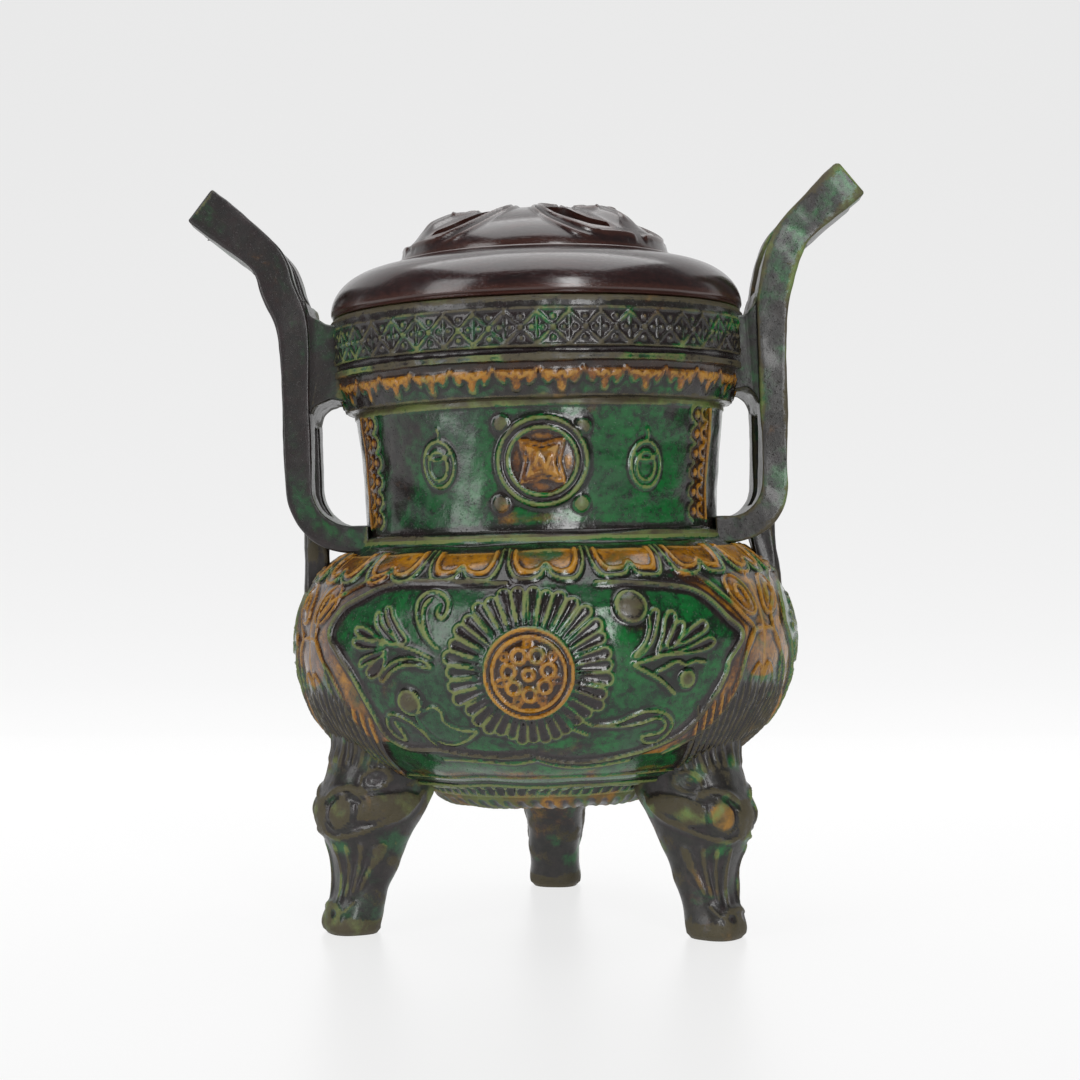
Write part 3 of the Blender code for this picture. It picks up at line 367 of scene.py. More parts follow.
class Clay:
    """A soft surface: places along and up it in millimetres, its lift and its glaze zones."""

    def __init__(self, along, up, squeeze):
        self.along, self.up, self.squeeze = along, up, squeeze
        self.ground = np.zeros(len(along))
        self.lines = np.zeros(len(along))
        self.amber = np.zeros(len(along))
        self.dark = np.zeros(len(along))

    def lift(self):
        """How far each point stands off the plain wall."""
        return self.ground + self.lines

    def near(self, line, reach):
        """Points within reach of a line: their numbers, distances and shares along it."""
        line = np.asarray(line, dtype=float)
        wide = reach / max(float(self.squeeze.min()), 0.3)
        rows = np.flatnonzero((self.along > line[:, 0].min() - wide) & (self.along < line[:, 0].max() + wide)
                              & (self.up > line[:, 1].min() - reach) & (self.up < line[:, 1].max() + reach))
        x, y, tight = self.along[rows], self.up[rows], self.squeeze[rows]
        best = np.full(len(rows), reach)
        share = np.zeros(len(rows))
        for k, (a, b) in enumerate(zip(line, line[1:])):
            edge = b - a
            t = np.clip(((x - a[0]) * edge[0] + (y - a[1]) * edge[1]) / max(edge @ edge, 1e-9), 0.0, 1.0)
            gap = np.hypot((x - a[0] - edge[0] * t) * tight, y - a[1] - edge[1] * t)
            closer = gap < best
            best[closer] = gap[closer]
            share[closer] = (k + t[closer]) / (len(line) - 1)
        keep = best < reach
        return rows[keep], best[keep], share[keep]

    def within(self, outline, edge):
        """Points inside an outline or its soft edge, and how deep inside they are, 0 to 1."""
        outline = np.asarray(outline, dtype=float)
        ring = np.vstack((outline, outline[:1]))
        rows = np.flatnonzero((self.along > ring[:, 0].min()) & (self.along < ring[:, 0].max())
                              & (self.up > ring[:, 1].min()) & (self.up < ring[:, 1].max()))
        x, y, tight = self.along[rows], self.up[rows], self.squeeze[rows]
        inside = np.zeros(len(rows), dtype=bool)
        gap = np.full(len(rows), 1e3)
        for a, b in zip(ring, ring[1:]):
            step = b - a
            t = np.clip(((x - a[0]) * step[0] + (y - a[1]) * step[1]) / max(step @ step, 1e-9), 0.0, 1.0)
            gap = np.minimum(gap, np.hypot((x - a[0] - step[0] * t) * tight, y - a[1] - step[1] * t))
            if abs(step[1]) > 1e-9:
                inside ^= ((a[1] > y) != (b[1] > y)) & (x < a[0] + (y - a[1]) / step[1] * step[0])
        rows, gap = rows[inside], gap[inside]
        return rows, eased(gap / edge)

    def bead(self, line, width, height, taper=0.0):
        """A thin raised line with a round section; taper thins it towards its ends."""
        rows, gap, share = self.near(line, width)
        rise = height * (0.5 + 0.5 * np.cos(math.pi * gap / width))
        if taper > 0.0:
            rise *= np.clip(np.minimum(share, 1.0 - share) / taper, 0.0, 1.0) ** 0.6
        self.lines[rows] = np.maximum(self.lines[rows], rise)

    def pad(self, outline, height, edge):
        """A raised flat with a soft edge, or a sunk one if the height is negative."""
        rows, level = self.within(outline, edge)
        rise = height * level
        self.ground[rows] = np.maximum(self.ground[rows], rise) if height > 0 else self.ground[rows] + rise

    def dome(self, centre, radius, height, tall=1.0, turn=0.0):
        """A round or oval swelling."""
        c, s = math.cos(math.radians(turn)), math.sin(math.radians(turn))
        x, y = (self.along - centre[0]) * self.squeeze, self.up - centre[1]
        reach = np.hypot((x * c + y * s) / radius, (y * c - x * s) / (radius * tall))
        rise = height * np.sqrt(np.clip(1.0 - reach ** 2, 0.0, 1.0))
        self.ground = np.maximum(self.ground, rise) if height > 0 else self.ground + rise

    def stain(self, zone, outline, edge, amount=1.0):
        """Lay a second glaze inside an outline."""
        rows, level = self.within(outline, edge)
        layer = getattr(self, zone)
        layer[rows] = np.maximum(layer[rows], amount * level)

    def stain_line(self, zone, line, width, amount=1.0):
        """Let a second glaze gather along a line."""
        rows, gap, _ = self.near(line, width)
        layer = getattr(self, zone)
        layer[rows] = np.maximum(layer[rows], amount * eased(1.0 - gap / width))

    def level_bead(self, reach, up, width, height):
        """A raised line that runs right across at one height."""
        self.bead(((-reach, up), (reach, up)), width, height)

    def level_stain(self, zone, reach, up, width, amount=1.0):
        """A second glaze gathered right across at one height."""
        self.stain_line(zone, ((-reach, up), (reach, up)), width, amount)


def round_line(centre, radius, steps=40, tall=1.0, start=0.0, end=360.0):
    """A circle, an oval or an arc of one."""
    turn = np.radians(np.linspace(start, end, steps + 1))
    return np.column_stack((centre[0] + radius * np.cos(turn), centre[1] + radius * tall * np.sin(turn)))


def tongue(root, tip, root_width, tip_width):
    """The outline of a petal: narrow at its root, round at its tip."""
    root, tip = np.array(root, dtype=float), np.array(tip, dtype=float)
    ahead = (tip - root) / np.linalg.norm(tip - root)
    aside = np.array((-ahead[1], ahead[0]))
    top = tip - ahead * tip_width / 2.0
    turn = np.radians(np.linspace(90.0, -90.0, 9))
    arc = [top + (ahead * math.cos(t) + aside * math.sin(t)) * tip_width / 2.0 for t in turn]
    return np.array([root + aside * root_width / 2.0] + arc + [root - aside * root_width / 2.0])


# %% [markdown]
# Each third of the belly holds one flower in a pointed frame. The flower is a seeded disc
# inside two rings, with a ring of outlined petals that grow shorter towards the bottom. A
# loop draws the petals, each a little different, as a hand-cut mould has them.

# %% The flower
PANEL_MIDDLES = (-3.5, 116.5, 236.5)
PETALS, SEEDS = (35, 31, 33), 7
FLOWER_CENTRE = (-0.3, -7.4)
DISC_RING, INNER_RING, PETAL_ROOT, PETAL_REACH = 14.2, 11.8, 15.6, 27.6
SEED_ORBIT, SEED_RADIUS, DOT_ORBIT = 6.4, 2.15, 9.4


def draw_flower(clay, petals, seeds, dice):
    """The seeded disc, its rings and its petals."""
    cx, cy = FLOWER_CENTRE
    for k in range(petals):
        t = 2.0 * math.pi * (k + 0.4) / petals + dice.uniform(-0.02, 0.02)
        below = max(0.0, -math.sin(t))
        reach = PETAL_REACH + dice.uniform(-0.9, 1.0) - 3.4 * below + 1.2 * max(0.0, math.sin(t)) ** 3
        root = (cx + PETAL_ROOT * math.cos(t), cy + PETAL_ROOT * math.sin(t))
        tip = (cx + reach * math.cos(t), cy + reach * math.sin(t))
        wide = 2.0 * math.pi * reach / petals
        outline = tongue(root, tip, 1.5 + dice.uniform(-0.3, 0.4), wide * dice.uniform(0.70, 0.86))
        clay.bead(outline, 0.85, 0.75 + dice.uniform(-0.1, 0.15))
        clay.stain("dark", tongue((cx + (reach - 9.5) * math.cos(t), cy + (reach - 9.5) * math.sin(t)),
                                  tip, 2.8, wide * 0.86), 0.7, dice.uniform(0.7, 1.1))
    clay.dome(FLOWER_CENTRE, PETAL_ROOT + 0.6, 0.9)
    disc = round_line(FLOWER_CENTRE, DISC_RING + 0.9)
    clay.stain("amber", disc, 0.9)
    clay.bead(round_line(FLOWER_CENTRE, DISC_RING), 1.15, 1.25)
    clay.stain_line("dark", round_line(FLOWER_CENTRE, (DISC_RING + INNER_RING) / 2.0), 1.3)
    clay.bead(round_line(FLOWER_CENTRE, INNER_RING), 0.9, 0.95)
    clay.bead(round_line(FLOWER_CENTRE, 1.7, 16), 0.8, 0.9)
    for k in range(5):
        t = math.radians(72.0 * k + 20.0)
        clay.dome((cx + 1.0 * math.cos(t), cy + 1.0 * math.sin(t)), 0.55, 0.5)
    for k in range(seeds):
        t = 2.0 * math.pi * (k + 0.25) / seeds + dice.uniform(-0.05, 0.05)
        spot = (cx + SEED_ORBIT * math.cos(t), cy + SEED_ORBIT * math.sin(t))
        clay.bead(round_line(spot, SEED_RADIUS, 20), 0.75, 0.95)
        clay.dome(spot, 0.9, 0.55)
        t += math.pi / seeds
        spot = (cx + DOT_ORBIT * math.cos(t), cy + DOT_ORBIT * math.sin(t))
        clay.dome(spot, 0.95, 0.7)
        clay.bead(round_line(spot, 1.25, 14), 0.6, 0.5)


# %% [markdown]
# Leaves, buds and fruits fill the field beside the flower. They were pressed as outlines
# with a hollow middle, so each is a bead round a slightly sunk and darker leaf. The left
# and the right side of the front are drawn apart, because they differ on the real one.

# %% Leaves of the left side, in millimetres from the middle of the panel
HOOK_OUTER = ((-28.7, 0.3), (-32.8, 3.1), (-36.1, 6.9), (-38.3, 11.4), (-38.9, 16.0), (-37.2, 19.0),
              (-34.0, 20.2), (-29.9, 19.0), (-27.4, 16.2), (-27.3, 12.9), (-29.1, 10.7), (-30.7, 12.7),
              (-30.1, 15.6))
HOOK_INNER = ((-30.5, 0.9), (-34.0, 5.3), (-36.1, 10.8), (-36.1, 15.1), (-33.7, 17.8))
LEFT_STEM = ((-31.8, -2.6), (-37.7, 0.3), (-44.1, 2.0), (-52.4, 3.7), (-58.4, 4.6))
LEFT_FINGERS = (
    ((-41.5, 3.9), (-45.2, 8.1), (-47.8, 11.5), (-49.3, 14.4), (-51.4, 14.4), (-50.1, 10.9), (-47.0, 6.4),
     (-44.1, 3.1)),
    ((-44.8, 3.1), (-49.8, 7.0), (-52.4, 9.8), (-53.6, 13.0), (-55.4, 12.4), (-54.6, 8.8), (-51.0, 5.0),
     (-48.0, 3.0)),
    ((-48.1, 2.6), (-54.7, 5.3), (-58.8, 7.5), (-63.0, 8.1), (-63.5, 6.4), (-58.4, 4.2)),
    ((-50.4, 1.8), (-56.1, 2.9), (-61.0, 4.2), (-64.4, 4.0), (-64.2, 2.2), (-59.1, 0.9)),
)
LOWER_LEAF = ((-32.5, -4.7), (-35.4, -2.8), (-40.4, -2.0), (-45.6, -2.9), (-49.9, -5.1), (-53.3, -8.4),
              (-52.1, -9.5), (-48.8, -6.7), (-44.4, -4.5), (-39.2, -3.9), (-34.4, -5.0))
LOWER_FINGERS = (((-51.0, -1.3), (-55.5, -3.5), (-59.0, -6.3), (-57.9, -8.5), (-54.7, -7.9), (-51.6, -5.0)),
                 ((-50.4, 0.4), (-56.4, -0.8), (-61.4, -2.8), (-61.8, -5.0), (-57.6, -3.4), (-53.0, -2.0)))
LEFT_BUD, LEFT_BUD_RADIUS = (-42.8, -16.8), 4.4
LEFT_LEAF = ((-41.7, -22.2), (-38.3, -19.7), (-34.1, -18.3), (-31.4, -20.2), (-31.5, -23.0),
             (-28.4, -25.5), (-23.7, -26.8), (-19.4, -26.6), (-24.1, -30.6), (-30.6, -32.7),
             (-36.2, -31.1), (-40.2, -26.3))
LEFT_TWIGS = (
    ((-54.7, -21.9), (-51.3, -21.0), (-46.2, -22.9), (-41.9, -26.4), (-38.5, -31.5), (-36.0, -34.0)),
    ((-54.7, -21.9), (-55.9, -25.8), (-54.2, -29.8), (-50.1, -31.1), (-50.6, -26.9), (-52.3, -23.4)),
)


# %% Leaves of the right side
FRUIT, FRUIT_RADIUS = (34.1, 13.3), 5.4
RIGHT_FINGERS = (
    ((33.9, -2.8), (37.6, 0.9), (39.7, 5.9), (39.9, 9.9), (41.8, 11.9), (43.5, 10.9), (42.2, 6.3),
     (40.0, 1.3), (35.7, -2.9)),
    ((42.3, -1.6), (44.4, 3.4), (45.7, 8.5), (48.1, 11.3), (50.1, 9.5), (48.4, 4.9), (44.9, 0.5)),
    ((45.5, 0.0), (47.7, 4.4), (49.7, 7.2), (52.1, 7.6), (52.8, 5.9), (50.7, 2.0), (47.4, -0.7)),
    ((48.7, 0.4), (52.9, 3.6), (57.4, 6.3), (60.5, 7.6), (61.9, 5.5), (59.1, 3.3), (52.7, 0.7)),
    ((42.3, -2.7), (48.6, -2.1), (55.3, -0.5), (60.4, 1.5), (63.3, 1.7), (64.4, -0.1), (59.5, -2.1),
     (48.7, -3.0)),
)
RIGHT_LINES = (((32.8, -5.6), (38.7, -4.2), (45.5, -2.8), (48.6, -2.3)),
               ((33.3, -5.6), (39.4, -8.7), (44.0, -11.5), (49.9, -16.5)),
               ((40.7, -8.7), (45.6, -6.7), (49.4, -5.2), (52.7, -6.6), (56.8, -5.6), (61.9, -6.4)))
RIGHT_BUD, RIGHT_BUD_RADIUS = (53.5, -11.1), 3.0
RIGHT_LEAF = ((22.2, -26.3), (29.5, -25.1), (34.8, -22.7), (40.2, -21.1), (46.5, -22.5), (50.6, -26.3),
              (50.2, -30.1), (47.1, -33.6), (42.1, -33.8), (39.6, -31.4), (42.5, -30.6), (47.1, -29.5),
              (47.8, -26.1), (44.1, -23.9), (38.5, -25.5), (32.2, -26.5))
NEAR_STROKES = (((10.2, -20.9), (15.4, -23.0), (21.7, -26.9)), ((10.8, -24.8), (15.0, -27.7), (20.2, -30.4)))


def outlined_leaf(clay, points, dice, width=0.8, height=0.8):
    """A leaf as a raised outline round a dark, slightly sunk middle."""
    outline = soft(points, closed=True)
    clay.pad(outline, -0.22, 1.2)
    clay.bead(outline, width, height + dice.uniform(-0.1, 0.1))
    clay.stain("dark", outline, 1.3, dice.uniform(0.55, 1.0))


def draw_leaves(clay, dice):
    """The leaves, buds, fruit and twigs on both sides of the flower."""
    for points in LEFT_FINGERS + LOWER_FINGERS + RIGHT_FINGERS:
        outlined_leaf(clay, points, dice)
    outlined_leaf(clay, LOWER_LEAF, dice, 0.9, 0.95)
    outlined_leaf(clay, RIGHT_LEAF, dice, 0.9, 1.0)
    outline = soft(LEFT_LEAF, closed=True)
    clay.pad(outline, 0.5, 2.0)
    clay.bead(outline, 0.9, 0.8)
    for points in (HOOK_OUTER, HOOK_INNER, LEFT_STEM) + LEFT_TWIGS + RIGHT_LINES + NEAR_STROKES:
        clay.bead(soft(points), 0.95, 0.95, taper=0.12)
    for centre, radius in ((LEFT_BUD, LEFT_BUD_RADIUS), (FRUIT, FRUIT_RADIUS), (RIGHT_BUD, RIGHT_BUD_RADIUS)):
        clay.dome(centre, radius, 1.5, turn=20.0)
        clay.bead(round_line(centre, radius, 30), 0.85, 0.75)
        clay.stain("dark", round_line(centre, radius, 30), 1.6, 0.85)


# %% [markdown]
# The pointed frame is two raised lines with a wide amber band between them. Inside its
# inner line the green glaze runs dark where it pooled. The band swells over each leg into
# scrolls, and under the shoulder into the scalloped collar.

# %% The pointed frame, from its top middle round each side to the cusp at the bottom
FRAME_LEFT = ((-7.7, 22.8), (-22.2, 23.6), (-42.0, 24.1), (-54.8, 22.4), (-64.5, 18.7), (-73.2, 13.8),
              (-77.6, 5.9), (-72.1, -0.5), (-66.6, -7.0), (-63.2, -13.1), (-60.7, -20.8), (-58.5, -30.0),
              (-51.0, -34.6), (-37.1, -35.0), (-30.0, -36.3), (-20.2, -37.6), (-10.5, -38.3), (-2.0, -37.3))
FRAME_RIGHT = ((23.5, 22.2), (36.5, 21.4), (51.5, 20.2), (59.5, 18.3), (65.5, 14.2), (71.5, 8.0), (77.3, 2.4),
               (71.2, -5.8), (70.2, -10.4), (65.4, -19.6), (60.4, -27.1), (54.1, -32.3), (44.0, -37.0),
               (38.4, -39.0), (28.9, -41.0), (18.4, -42.0), (7.8, -40.6), (1.0, -38.4))
OUTER_LEFT = ((-52.1, 28.7), (-63.0, 25.9), (-74.0, 21.3), (-82.8, 14.9), (-88.5, 8.0), (-86.0, -0.5),
              (-79.0, -7.5), (-75.0, -15.0), (-72.0, -24.0), (-68.5, -33.0))
OUTER_RIGHT = ((52.0, 27.0), (60.6, 24.8), (67.2, 21.1), (73.6, 14.7), (79.8, 8.8), (85.2, 3.7), (80.5, -3.0),
               (78.3, -9.8), (76.4, -18.2), (70.5, -27.2), (63.5, -33.1), (52.0, -41.0))
LOWER_LEFT = ((-38.2, -39.9), (-28.0, -40.1), (-17.8, -40.9), (-7.8, -41.9), (1.0, -40.3))
LOWER_RIGHT = ((1.0, -40.3), (8.5, -43.6), (18.4, -45.0), (28.9, -44.2), (39.5, -42.4))


def draw_frame(clay):
    """The frame's lines, its amber band and the dark pooled line inside it."""
    left, right = soft(FRAME_LEFT), soft(FRAME_RIGHT)
    inner = np.vstack((left, right[::-1]))
    outer_left, outer_right = soft(OUTER_LEFT), soft(OUTER_RIGHT)
    clay.stain("amber", np.vstack((left[15:75], outer_left[::-1])), 1.6)
    clay.stain("amber", np.vstack((right[15:75], outer_right[::-1])), 1.6)
    for line in (left, right):
        clay.bead(line, 1.3, 1.35)
    for line in (outer_left, outer_right):
        clay.bead(line, 1.1, 0.9, taper=0.08)
    for line in (soft(LOWER_LEFT), soft(LOWER_RIGHT)):
        clay.bead(line, 1.1, 1.0, taper=0.05)
    pooled = inner + (np.array((0.0, -8.0)) - inner) * 0.032
    clay.stain_line("dark", pooled, 2.6, 0.95)
    band = np.array(((-26.0, 23.0), (8.0, 22.4), (40.0, 21.0), (52.0, 19.5)))
    clay.stain_line("dark", soft(band), 5.0, 0.9)


# %% [markdown]
# Round the shoulder lies a collar of scalloped leaves, each with two lobes and a small cusp
# between them, amber inside a green raised edge. Under the flowers a hatched band ends the
# belly, and from each leg upright locks of a mane climb the wall.

# %% Collar, scrolls, mane and hatched band
COLLAR_LEAVES, COLLAR_START = 18, 0.5
COLLAR_TOP_Z, COLLAR_CUSP_Z, COLLAR_LOBE_Z = 131.0, 124.6, 121.6
MANE_FOOT_Z, MANE_CREST_Z, MANE_LOCKS = 55.0, 86.0, 19
MANE_FOOT_HALF, MANE_TOP_HALF = 21.0, 33.0
HATCH_LOW_Z, HATCH_HIGH_Z, HATCH_PITCH = 47.6, 52.0, 7.4
FOOT_RIDGE_Z, FOOT_LINE_Z, FOOT_AMBER_Z = 53.4, 56.6, 57.8
PANEL_REACH = 115.0
SCROLL_LOBE = ((3.0, 10.0), (4.8, 17.0), (10.0, 21.8), (15.2, 20.6), (15.6, 14.6), (11.0, 9.4), (6.0, 7.6))
SCROLL_CURL = ((6.2, 11.0), (8.2, 16.6), (11.6, 17.8), (12.0, 14.4), (9.4, 12.4))
SCROLL_LEAF = ((2.5, -8.1), (7.2, -12.5), (6.4, -18.0), (2.6, -23.5), (0.8, -17.0))
SCROLL_TAIL = ((0.8, 4.0), (7.5, 2.5), (12.0, -4.0), (13.6, -12.0), (17.0, -21.0))


def short_way(azimuth, middle):
    """Degrees from a middle to an azimuth, the short way round."""
    return (azimuth - middle + 180.0) % 360.0 - 180.0


def turned_off(turn, middle):
    """Radians from a middle in degrees to a turn in radians, the short way round."""
    return (turn - math.radians(middle) + math.pi) % (2.0 * math.pi) - math.pi


def panel_x(azimuth, middle):
    """Place along a panel of an azimuth, in millimetres at the belly's widest."""
    return math.radians(short_way(azimuth, middle)) * BELLY_RADIUS


def beside(x, side, points, rise=0.0):
    """A drawn line set to one side of an upright, as drawn or mirrored."""
    return [(x + side * a, b + rise) for a, b in points]


def draw_collar(clay, middle, up_at, dice):
    """The scalloped leaves under the neck."""
    step = math.radians(360.0 / COLLAR_LEAVES) * BELLY_RADIUS
    top, cusp, lobe = up_at(COLLAR_TOP_Z), up_at(COLLAR_CUSP_Z), up_at(COLLAR_LOBE_Z)
    for k in range(COLLAR_LEAVES):
        x = panel_x(COLLAR_START + k * 360.0 / COLLAR_LEAVES, middle)
        if abs(x) > PANEL_REACH:
            continue
        drop = dice.uniform(-0.4, 0.4)
        for inset, width, height in ((0.0, 1.15, 1.2), (2.7, 0.9, 0.8)):
            half = step * 0.465 - inset
            flank = ((half, top), (half * 0.97, (top + lobe) / 2.0 + inset * 0.3),
                     (half * 0.78, lobe + 1.0 + inset), (half * 0.45, lobe + drop + inset),
                     (half * 0.16, lobe + 1.2 + inset))
            line = soft(beside(x, -1.0, flank) + [(x, cusp + inset * 0.7)] + beside(x, 1.0, flank[::-1]))
            if inset == 0.0:
                clay.pad(line, 0.8, 2.0)
                clay.stain("amber", line + np.array((0.0, 0.9)), 1.0)
            clay.bead(line, width, height)
        clay.stain_line("dark", ((x + step / 2.0, top), (x + step / 2.0, lobe + 2.0)), 1.9)
    clay.level_stain("dark", PANEL_REACH, lobe - 2.0, 2.6, 0.9)
    clay.level_stain("dark", PANEL_REACH, top + 1.6, 3.0, 0.8)


def draw_scrolls(clay, x, lean_out):
    """The amber scrolls over one leg, mirrored about its middle line."""
    for side in (-1.0, 1.0):
        lobe = soft(beside(x, side, SCROLL_LOBE, 1.0), closed=True)
        clay.pad(lobe, 0.7, 2.0)
        clay.bead(lobe, 1.0, 0.9)
        clay.bead(soft(beside(x, side, SCROLL_CURL, 1.0)), 0.8, 0.8, taper=0.1)
        leaf = soft(beside(x, side, SCROLL_LEAF), closed=True)
        clay.pad(leaf, 0.5, 1.6)
        clay.bead(leaf, 0.9, 0.8)
        clay.bead(soft(beside(x, side, SCROLL_TAIL)), 0.95, 0.85, taper=0.1)
    field = soft(((x - 17.0, 24.0), (x + 17.0, 24.0), (x + 13.0 + lean_out, 4.0), (x + 9.0, -12.0),
                  (x - 9.0, -12.0), (x - 13.0 - lean_out, 4.0)), closed=True)
    clay.stain("amber", field, 3.0)


def draw_mane(clay, x, up_at, dice):
    """The locks over one leg: upright ribs that part from the middle."""
    foot, crest = up_at(MANE_FOOT_Z), up_at(MANE_CREST_Z)
    for k in range(MANE_LOCKS):
        share = (k + 0.5) / MANE_LOCKS * 2.0 - 1.0
        start = (x + share * MANE_FOOT_HALF, foot - 2.0 * abs(share))
        rise = crest - 8.0 * abs(share) ** 1.6 + dice.uniform(-1.2, 1.2)
        end = (x + share * MANE_TOP_HALF, rise)
        bend = (x + share * 28.0, (foot + rise) / 2.0)
        clay.bead(soft((start, bend, end)), 1.1, 1.0 + dice.uniform(-0.15, 0.15), taper=0.15)
    field = soft(((x - MANE_TOP_HALF, crest - 6.0), (x, crest + 2.0), (x + MANE_TOP_HALF, crest - 6.0),
                  (x + 26.0, foot), (x - 26.0, foot)), closed=True)
    clay.stain("dark", field, 5.0)


def draw_hatching(clay, up_at):
    """The slanted strokes between two lines at the belly's foot."""
    low, high = up_at(HATCH_LOW_Z), up_at(HATCH_HIGH_Z)
    for k in range(-14, 15):
        x = (k + 0.5) * HATCH_PITCH
        clay.bead(soft(((x, low), (x + 2.2, (low + high) / 2.0), (x + 5.4, high))), 1.2, 0.8)
    for z, width, height in ((FOOT_RIDGE_Z, 1.6, 1.2), (FOOT_LINE_Z, 1.1, 0.7)):
        clay.level_bead(PANEL_REACH, up_at(z), width, height)
    clay.level_stain("amber", PANEL_REACH, low, 5.0, 0.5)
    clay.level_stain("amber", PANEL_REACH, up_at(FOOT_AMBER_Z), 5.5, 0.52)
    clay.level_stain("dark", PANEL_REACH, up_at(FOOT_RIDGE_Z) - 2.2, 2.0, 0.9)


# %% [markdown]
# Wear and pooling follow the shape: glaze runs off the raised lines, which fire thin and
# rub pale, and gathers in the hollows, which fire dark. Both are worked out from the mesh.
# Each vertex is set against the average of its surroundings: what stands proud is a crest,
# and what lies low is a pool. The glaze reads them as attributes.

# %% Crests and pools
def neighbour_average(values, edges, rounds):
    """Blur values over a mesh by averaging each vertex with its neighbours."""
    count = len(values)
    first, second = edges[:, 0], edges[:, 1]
    share = np.bincount(first, minlength=count) + np.bincount(second, minlength=count) + 1.0
    for _ in range(rounds):
        total = values.copy()
        for axis in range(values.shape[1]):
            column = values[:, axis]
            total[:, axis] += np.bincount(first, weights=column[second], minlength=count)
            total[:, axis] += np.bincount(second, weights=column[first], minlength=count)
        values = total / share[:, None]
    return values


def set_attribute(piece, name, values):
    """Store one number per vertex for the materials."""
    layer = piece.data.attributes.get(name) or piece.data.attributes.new(name, "FLOAT", "POINT")
    layer.data.foreach_set("value", np.ascontiguousarray(values, dtype=np.float32))


def note_wear(piece, rounds=7, depth=0.16):
    """Write the crest and pool attributes of a finished piece, its mesh still in millimetres."""
    mesh = piece.data
    edges = np.empty(len(mesh.edges) * 2, dtype=np.int64)
    mesh.edges.foreach_get("vertices", edges)
    edges = edges.reshape(-1, 2)
    normals = vertex_normals(piece)
    points = coordinates(piece)
    near = neighbour_average(points, edges, rounds)
    proud = ((points - near) * normals).sum(axis=1)
    wide = neighbour_average(near, edges, rounds * 4)
    broad = ((points - wide) * normals).sum(axis=1)
    proud = neighbour_average((proud * 0.7 + broad * 0.22)[:, None], edges, 1)[:, 0]
    set_attribute(piece, "crest", np.clip(proud / depth, 0.0, 1.0))
    set_attribute(piece, "pool", np.clip(-proud / depth, 0.0, 1.0))


def settle(piece, stance, sharp=70.0):
    """Shade a finished piece smooth and set it on its place in metres."""
    set_coordinates(piece, place(coordinates(piece), stance))
    pick(piece)
    bpy.ops.object.shade_smooth_by_angle(angle=math.radians(sharp))
    deselect_all()


# %% [markdown]
# Now the belly is turned, one section for each flower, and the drawing pressed into it. The
# sections meet over the legs, as the moulded thirds of such a vessel do, and the inner side
# and the two ends close each one into a solid slab of clay.

# %% The belly in three sections
belly_out = belly_line(0.0, 180, 150)
belly_runs = run_along(belly_out)
even = np.arange(0.0, belly_runs[-1], GRAIN)
belly_out = np.column_stack([np.interp(even, belly_runs, belly_out[:, i]) for i in (0, 1)])
mid_run = float(np.interp(BELLY_MID_Z, belly_out[:, 1], even))
bead_corner = (NECK_RADIUS + NECK_BEAD, NECK_FOOT_Z - NECK_BEAD)
belly_top = stepped((belly_out[-1], bead_corner), GRAIN)[1:]
belly_foot = stepped((belly_out[0] - (FOOT_STEP, FOOT_DROP), belly_out[0]), GRAIN)[:-1]
belly_outer = np.vstack((belly_foot, belly_out, belly_top))
belly_inner = belly_line(WALL, 9, 7)
belly_inner = belly_inner[belly_inner[:, 1] < NECK_FOOT_Z - NECK_BEAD - 1.0][::-1]
belly_up = run_along(belly_outer) - mid_run - np.linalg.norm((FOOT_STEP, FOOT_DROP))


def up_at(z):
    """Running length up the belly's side at one height, zero at its widest."""
    return float(np.interp(z, belly_outer[:, 1], belly_up))


def side_normals(line):
    """Unit normals of a rising line of (radius, height), pointing away from the axis."""
    ahead = np.gradient(line, axis=0)
    ahead /= np.linalg.norm(ahead, axis=1)[:, None]
    return np.column_stack((ahead[:, 1], -ahead[:, 0]))


def outer_rows(piece, outer_count):
    """The vertices of the outer side and the outline row that each one came from."""
    rows = np.empty(len(piece.data.vertices), dtype=np.int32)
    piece.data.attributes["row"].data.foreach_get("value", rows)
    outside = np.flatnonzero(rows < outer_count)
    return outside, rows[outside]


def press_relief(piece, outer, lift_of):
    """Move the outer side of a turned piece out along its normals by a drawn lift."""
    points = coordinates(piece)
    outside, rows = outer_rows(piece, len(outer))
    normals = side_normals(outer)[rows]
    turn = np.arctan2(points[outside, 0], -points[outside, 1])
    lift, zones = lift_of(turn, rows, points[outside])
    points[outside, 0] += lift * normals[:, 0] * np.sin(turn)
    points[outside, 1] -= lift * normals[:, 0] * np.cos(turn)
    points[outside, 2] += lift * normals[:, 1]
    set_coordinates(piece, points)
    for name, values in zones.items():
        whole = np.zeros(len(points))
        whole[outside] = values
        set_attribute(piece, name, whole)


